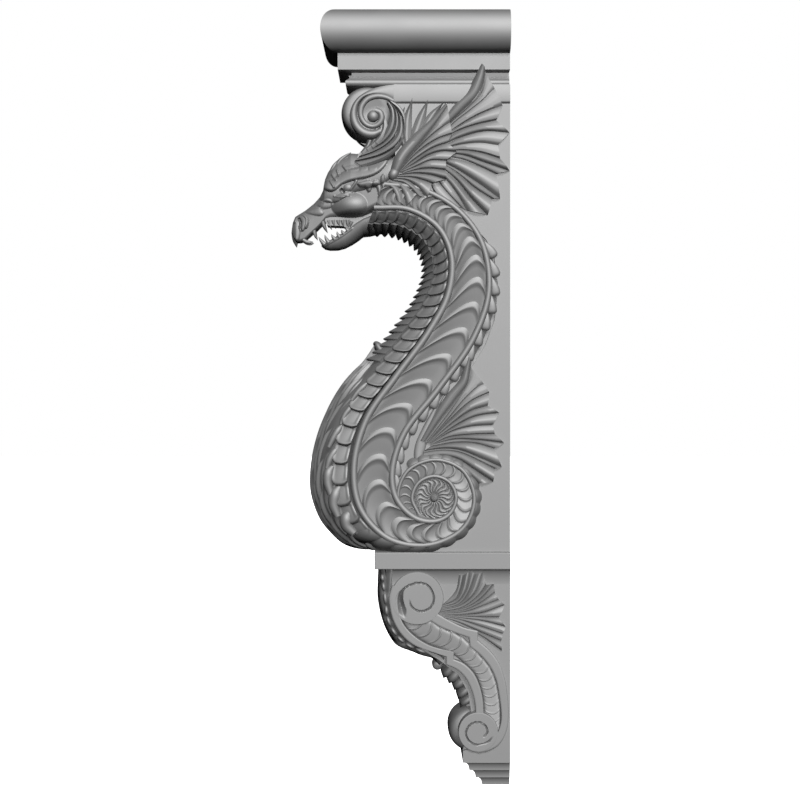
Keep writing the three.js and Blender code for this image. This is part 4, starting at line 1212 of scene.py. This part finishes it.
volutes = [
    # centre, radius, how far the line's first end opens out, the incised spiral
    ([-120, -37], 34, 3.2,
     [[-136.9, -59.5], [-142.6, -39], [-136.9, -24.8], [-118.9, -17.1], [-104.8, -21.6], [-98.3, -36.4],
      [-103.5, -49.2], [-116.3, -53.7], [-126.6, -48], [-130.4, -39]]),
    ([-41.5, -209], 25.6, 0,
     [[-34.2, -214.8], [-29.7, -208.4], [-32.9, -200], [-41.9, -195.9], [-52.1, -199.4], [-57.3, -209.7],
      [-53.4, -219.9], [-41.9, -225.1], [-29, -221.2], [-22.6, -214.8]]),
]
consoleRays = [
    ([[-89, -47], [-75, -34], [-69, -24], [-66, -7]], 1.5),
    ([[-91, -48], [-71, -39], [-65, -26], [-61, -8]], 3.5),
    ([[-91, -49], [-69, -43], [-58, -29], [-51, -1]], 1.5),
    ([[-91, -51], [-67, -45], [-55, -30], [-46, -6]], 3),
    ([[-91, -53], [-64, -46], [-46, -31], [-35, -4]], 1.5),
    ([[-92, -55], [-62, -49], [-43, -35], [-31, -20]], 3),
    ([[-92, -55], [-60, -50], [-39, -38], [-21, -19]], 2),
    ([[-93, -56], [-60, -52], [-39, -43], [-20, -30]], 2),
    ([[-93, -56], [-62, -55], [-39, -48], [-15, -39]], 2.5),
    ([[-93, -57], [-62, -58], [-37, -56], [-7, -46]], 2),
    ([[-93, -58], [-65, -60], [-39, -61], [-15, -62]], 3),
    ([[-93, -58], [-65, -62], [-37, -66], [-6, -74]], 2),
    ([[-93, -59], [-67, -64], [-39, -73], [-10, -83]], 2.5),
    ([[-94, -60], [-70, -67], [-42, -79], [-12, -92]], 3.5),
    ([[-94, -60], [-71, -70], [-39, -85], [-11, -105]], 0),
]
channel = {
    "pitchShare": 0.5,
    "look": {"face": 41.5, "lift": 4, "dome": 5, "peak": 0.6, "tipDepth": 0.5, "lip": 2.5, "lean": 0},
    "left": [
        [-31.5, -212.8], [-34, -188.4], [-35.3, -167.8], [-39.2, -151.1], [-46.9, -134.4], [-59.7, -121.6],
        [-72.6, -111.3], [-90.6, -102.9], [-106, -97.2], [-124, -85.6], [-136.8, -71.5], [-143.3, -52.2],
    ],
    "right": [
        [-13.5, -210.3], [-12.2, -188.4], [-14.1, -164], [-18, -144.7], [-26.3, -125.4], [-39.2, -110],
        [-53.3, -94.6], [-71.3, -81.7], [-88, -75.3], [-103.4, -65], [-120.1, -63.7], [-138.1, -49.6],
    ],
}


def addBand(bm, outer, inner, side, columns=10, rows=44):
    # a flat raised band whose arrises are softened
    first, second = (curveThrough(line) if len(line) > 2 else straight(line) for line in (outer, inner))
    soft = console["arris"]

    def place(u, v):
        w = 0.5 - 0.5 * np.cos(math.pi * u)
        a, b = first(v), second(v)
        xz = a + (b - a) * w[:, None]
        near = np.minimum(w, 1 - w) * np.linalg.norm(b - a, axis=1)
        y = console["band"] - soft * (1 - np.clip(near / soft, 0, 1)) ** 2
        return np.stack([xz[:, 0], side * y, xz[:, 1]], axis=1)

    addSheet(bm, columns, rows, place, back=side * 30)


def straight(ends):
    a, b = np.array(ends, float)
    return lambda t: a + (b - a) * np.asarray(t)[..., None]


def addVolute(bm, centre, radius, hollow, spiral, side):
    # a flat disc with one incised line winding into it
    line = curveThrough(spiral)(np.linspace(0, 1, 90))
    soft = console["arris"]

    def place(u, v):
        r = radius * v
        turn = 2 * math.pi * u
        x, z = centre[0] + r * np.cos(turn), centre[1] + r * np.sin(turn)
        gap, share = farFrom(x, z, line)
        depth = console["grooveDepth"] * ease((1 - share) / 0.15 + 0.1) * ease(share / 0.1 + 0.3)
        # the line opens into a hollow where the band leaves the disc
        opened = hollow * ease((0.24 - share) / 0.16) * ease((share + 0.02) / 0.06)
        depth = depth * (1 + 0.6 * opened)
        y = console["band"] + 0.1 - depth * np.clip(1 - gap / (console["groove"] * (1 + opened)), 0, 1)
        y = y - soft * (1 - np.clip((radius - r) / soft, 0, 1)) ** 2
        return np.stack([x, side * y, z], axis=1)

    addSheet(bm, 128, 46, place, back=side * 30)


foot = {
    "reach": 61,
    "coves": 3,
    "coveHeight": 10.5,
    "coveDepth": 8.5,
    "sideShare": 0.55,
}


def makeConsoleSides():
    bm = bmesh.new()
    reach = foot["reach"]
    cheek = [
        [0, 0], [0, -drawnConsole], [-reach, -drawnConsole], [-reach, -234], [-52, -205],
        [-50, -185], [-54, -160], [-66, -138], [-90, -119], [-126, -97], [-148, -72], [-154, -40], [-152, 0],
    ]
    wallSide = [
        [0, 0], [0, -drawnConsole], [-reach, -drawnConsole], [-reach, -234], [-35, -229],
        [-16, -214], [-8.5, -190], [-9.5, -165], [-17, -140], [-33, -115], [-47, -96], [-48, -84], [-65, -77],
        [-85, -67], [-101, -60], [-120, -37], [-148, -30], [-152, 0],
    ]
    addOutline(bm, cheek, -console["floor"], console["floor"])
    addOutline(bm, wallSide, -console["panel"], console["panel"])
    for side in bothSides:
        def cavetto(u, v):
            # the cheek flares out to meet the ledge
            y = console["panel"] - 0.05 + console["flare"] * (1 - np.sqrt(1 - v ** 2))
            return np.stack([-152 * u, side * y, -console["flareHeight"] * (1 - v)], axis=1)

        addSheet(bm, 2, 24, cavetto, back=-side * 20)
        for outer, inner in bandLines:
            addBand(bm, outer, inner, side)
        for volute in volutes:
            addVolute(bm, *volute, side)
    finishPiece(bm, "consoleSides", "scroll_console", consolePlace, primer, sharp=30)


makeConsoleSides()


def makeConsoleScales():
    bm = bmesh.new()
    left, right = curveThrough(channel["left"]), curveThrough(channel["right"])
    t = np.linspace(0, 1, 801)
    middle = (left(t) + right(t)) / 2
    miles = np.concatenate([[0], np.cumsum(np.linalg.norm(np.diff(middle, axis=0), axis=1))])
    widths = np.linalg.norm(left(t) - right(t), axis=1)

    def spot(s, across):
        here = np.interp(s, miles, t)
        return left(here) * (1 - across)[:, None] + right(here) * across[:, None]

    def wide(s):
        return np.interp(s, miles, widths)

    starts = walk(-4, miles[-1] - 8, lambda s: channel["pitchShare"] * wide(s))
    look = {**scales, **channel["look"]}
    for side in bothSides:
        scaleGrid(bm, starts, 20, side, spot, wide, look, 30)
        addPleats(bm, consoleRays, [45, 46.5, 47.5, 47.5], 30, side)
    finishPiece(bm, "consoleScales", "scroll_console", consolePlace, primer)


makeConsoleScales()


consoleNose = [
    [-171, 0], [-172, -22], [-172, -41], [-168, -64], [-161, -84], [-148, -104], [-133, -111], [-116, -117],
    [-101, -122], [-92, -130],
]
consoleEdge = [
    [-152, 0], [-154, -22], [-155, -41], [-150, -62], [-141, -80], [-129, -92], [-116, -99], [-104, -103],
    [-92, -108], [-84, -114],
]
frontPlates = [
    # tip, root and thickness of each shell under the front
    ([-85.5, -144.5], [-62, -113], 12), ([-78.5, -151.5], [-54, -122], 12), ([-71.5, -160], [-46, -134], 11),
    ([-66.5, -171.5], [-42, -146], 10), ([-63, -182], [-38, -160], 9.5),
]
beadCount = 9
beadLine = [
    [-165.2, -7.1], [-164, -17.5], [-162, -30.4], [-160.1, -47.2], [-158.8, -61.4], [-153.6, -75.6],
    [-145.9, -87.3], [-135.5, -96.3], [-122.6, -103.4], [-107.1, -109.2],
]


def makeConsoleFront():
    bm = bmesh.new()
    nose, edge = curveThrough(consoleNose), curveThrough(consoleEdge)

    def leaf(u, v):
        angle = math.pi * (u - 0.5)
        base, tip = edge(v), nose(v)
        across = np.abs(np.sin(angle))
        lobe = (5 * v - 0.8 * across) % 1.0
        rise = 1.6 * np.where(lobe < 0.25, ease(lobe / 0.25), np.cos(math.pi / 2 * (lobe - 0.25) / 0.75))
        height = rise * ease(across * 2) + 1.2 * np.cos(8 * angle) - 1.6
        run = unit(tip - base)
        spot = base + (tip - base) * np.cos(angle)[:, None] + run * (height * np.cos(angle))[:, None]
        y = (console["panel"] - 4 + height * across) * np.sin(angle)
        return np.stack([spot[:, 0], y, spot[:, 1]], axis=1)

    addSheet(bm, 72, 150, leaf)
    addRoll(bm, (-93, -129), 7, 17)
    addRoll(bm, (-50, -210), 29.5, 37)
    for tip, root, thick in frontPlates:
        route = [[*tip, 0.4, 24], [*np.add(tip, [3, 6]), 0.6 * thick, 34], [*root, thick, 37]]
        addTube(bm, [[x, 0, z, across, deep] for x, z, across, deep in route], 20, 40, square=0.8)
    addOutline(bm, [[-60, -150], [-42, -150], [-30, -200], [-52, -200]], -20, 20)
    line = curveThrough(beadLine)
    for k in range(beadCount):
        a, b = line(np.array([k + 0.05, k + 0.95]) / beadCount)
        mid = (a + b) / 2
        long = float(np.linalg.norm(b - a)) / 2
        turn = math.atan2(-(b - a)[1], (b - a)[0])
        for side in bothSides:
            addBall(bm, (mid[0], side * 36, mid[1]), (long, 5, 2.8), turn=turn)
    finishPiece(bm, "consoleFront", "scroll_console", consolePlace, primer)


makeConsoleFront()


def makeFoot():
    bm = bmesh.new()
    profile = [[-drawnConsole + 0.5, -console["panel"]], [-drawnConsole + 0.5, -0.1 * foot["coveDepth"]]]
    for k in range(foot["coves"]):
        for turn in np.linspace(0, math.pi / 2, 13):
            z = -drawnConsole - foot["coveHeight"] * (k + 1 - math.cos(turn))
            profile.append([z, -foot["coveDepth"] * (k + 0.1 + 0.9 * math.sin(turn))])
    profile.append([profile[-1][0], -console["panel"]])
    width = 2 * console["panel"]
    mouldingSheet(bm, profile, foot["reach"], width, len(profile) - 1, foot["sideShare"])
    finishPiece(bm, "consoleFoot", "scroll_console", consolePlace, primer, sharp=25)


makeFoot()


# Camera, light and floor

view = {
    "place": (-0.1417, -1.9624, -0.0024),
    "lens": 67.185,
    "floor": -1.6,
    "azimuth": 11,      # of the key light, to the right of the camera
    "elevation": 29,
    "key": 6.0,
    "keyShadow": 3.2,   # the same light again, softly shadowed
    "fill": 0.01,
}


def makeCamera():
    camera = bpy.data.objects.new("camera", bpy.data.cameras.new("camera"))
    camera.data.lens = view["lens"]
    camera.data.sensor_width = 36
    camera.location = view["place"]
    camera.rotation_euler = (math.pi / 2, 0, 0)
    bpy.context.collection.objects.link(camera)
    bpy.context.scene.camera = camera


def makeFloor():
    # a lit white studio floor that throws no light up on the carving
    bm = bmesh.new()
    below = Matrix.Translation((0, 0, view["floor"]))
    bmesh.ops.create_grid(bm, x_segments=1, y_segments=1, size=40, matrix=below)
    mesh = bpy.data.meshes.new("floor")
    bm.to_mesh(mesh)
    bm.free()
    floor = bpy.data.objects.new("floor", mesh)
    bpy.context.collection.objects.link(floor)
    paint = bpy.data.materials.new("floorPaint")
    paint.use_nodes = True
    looks = [("Base Color", linear("#f4f4f4")), ("Roughness", 0.9)]
    glow = [("Emission Color", linear("#ffffff")), ("Emission Strength", 0.9)]
    setSockets(paint.node_tree.nodes["Principled BSDF"], looks + glow)
    mesh.materials.append(paint)
    floor.visible_diffuse = False
    floor.visible_glossy = False


def makeLight():
    turn, rise = math.radians(view["azimuth"]), math.radians(view["elevation"])
    away = Vector((-math.sin(turn) * math.cos(rise), math.cos(turn) * math.cos(rise), -math.sin(rise)))
    for name in ("key", "keyShadow"):
        sun = bpy.data.objects.new(name, bpy.data.lights.new(name, "SUN"))
        sun.data.energy = view[name]
        sun.data.angle = math.radians(20)
        sun.data.use_shadow = name == "keyShadow"
        sun.rotation_euler = away.to_track_quat("-Z", "Y").to_euler()
        bpy.context.collection.objects.link(sun)
    world = bpy.data.worlds.new("studio")
    world.use_nodes = True
    bpy.context.scene.world = world
    tree = world.node_tree
    dim = tree.nodes["Background"]
    setSockets(dim, [("Color", linear("#ffffff")), ("Strength", view["fill"])])
    white = addNode(tree, "ShaderNodeBackground", values=[("Color", linear("#ffffff"))])
    rays = addNode(tree, "ShaderNodeLightPath")
    seen = [(0, rays.outputs["Is Camera Ray"]), (1, dim.outputs[0]), (2, white.outputs[0])]
    mix = addNode(tree, "ShaderNodeMixShader", seen)
    tree.links.new(mix.outputs[0], tree.nodes["World Output"].inputs["Surface"])
    bpy.context.scene.view_settings.view_transform = "Standard"


makeCamera()
makeFloor()
makeLight()
print("stage made")
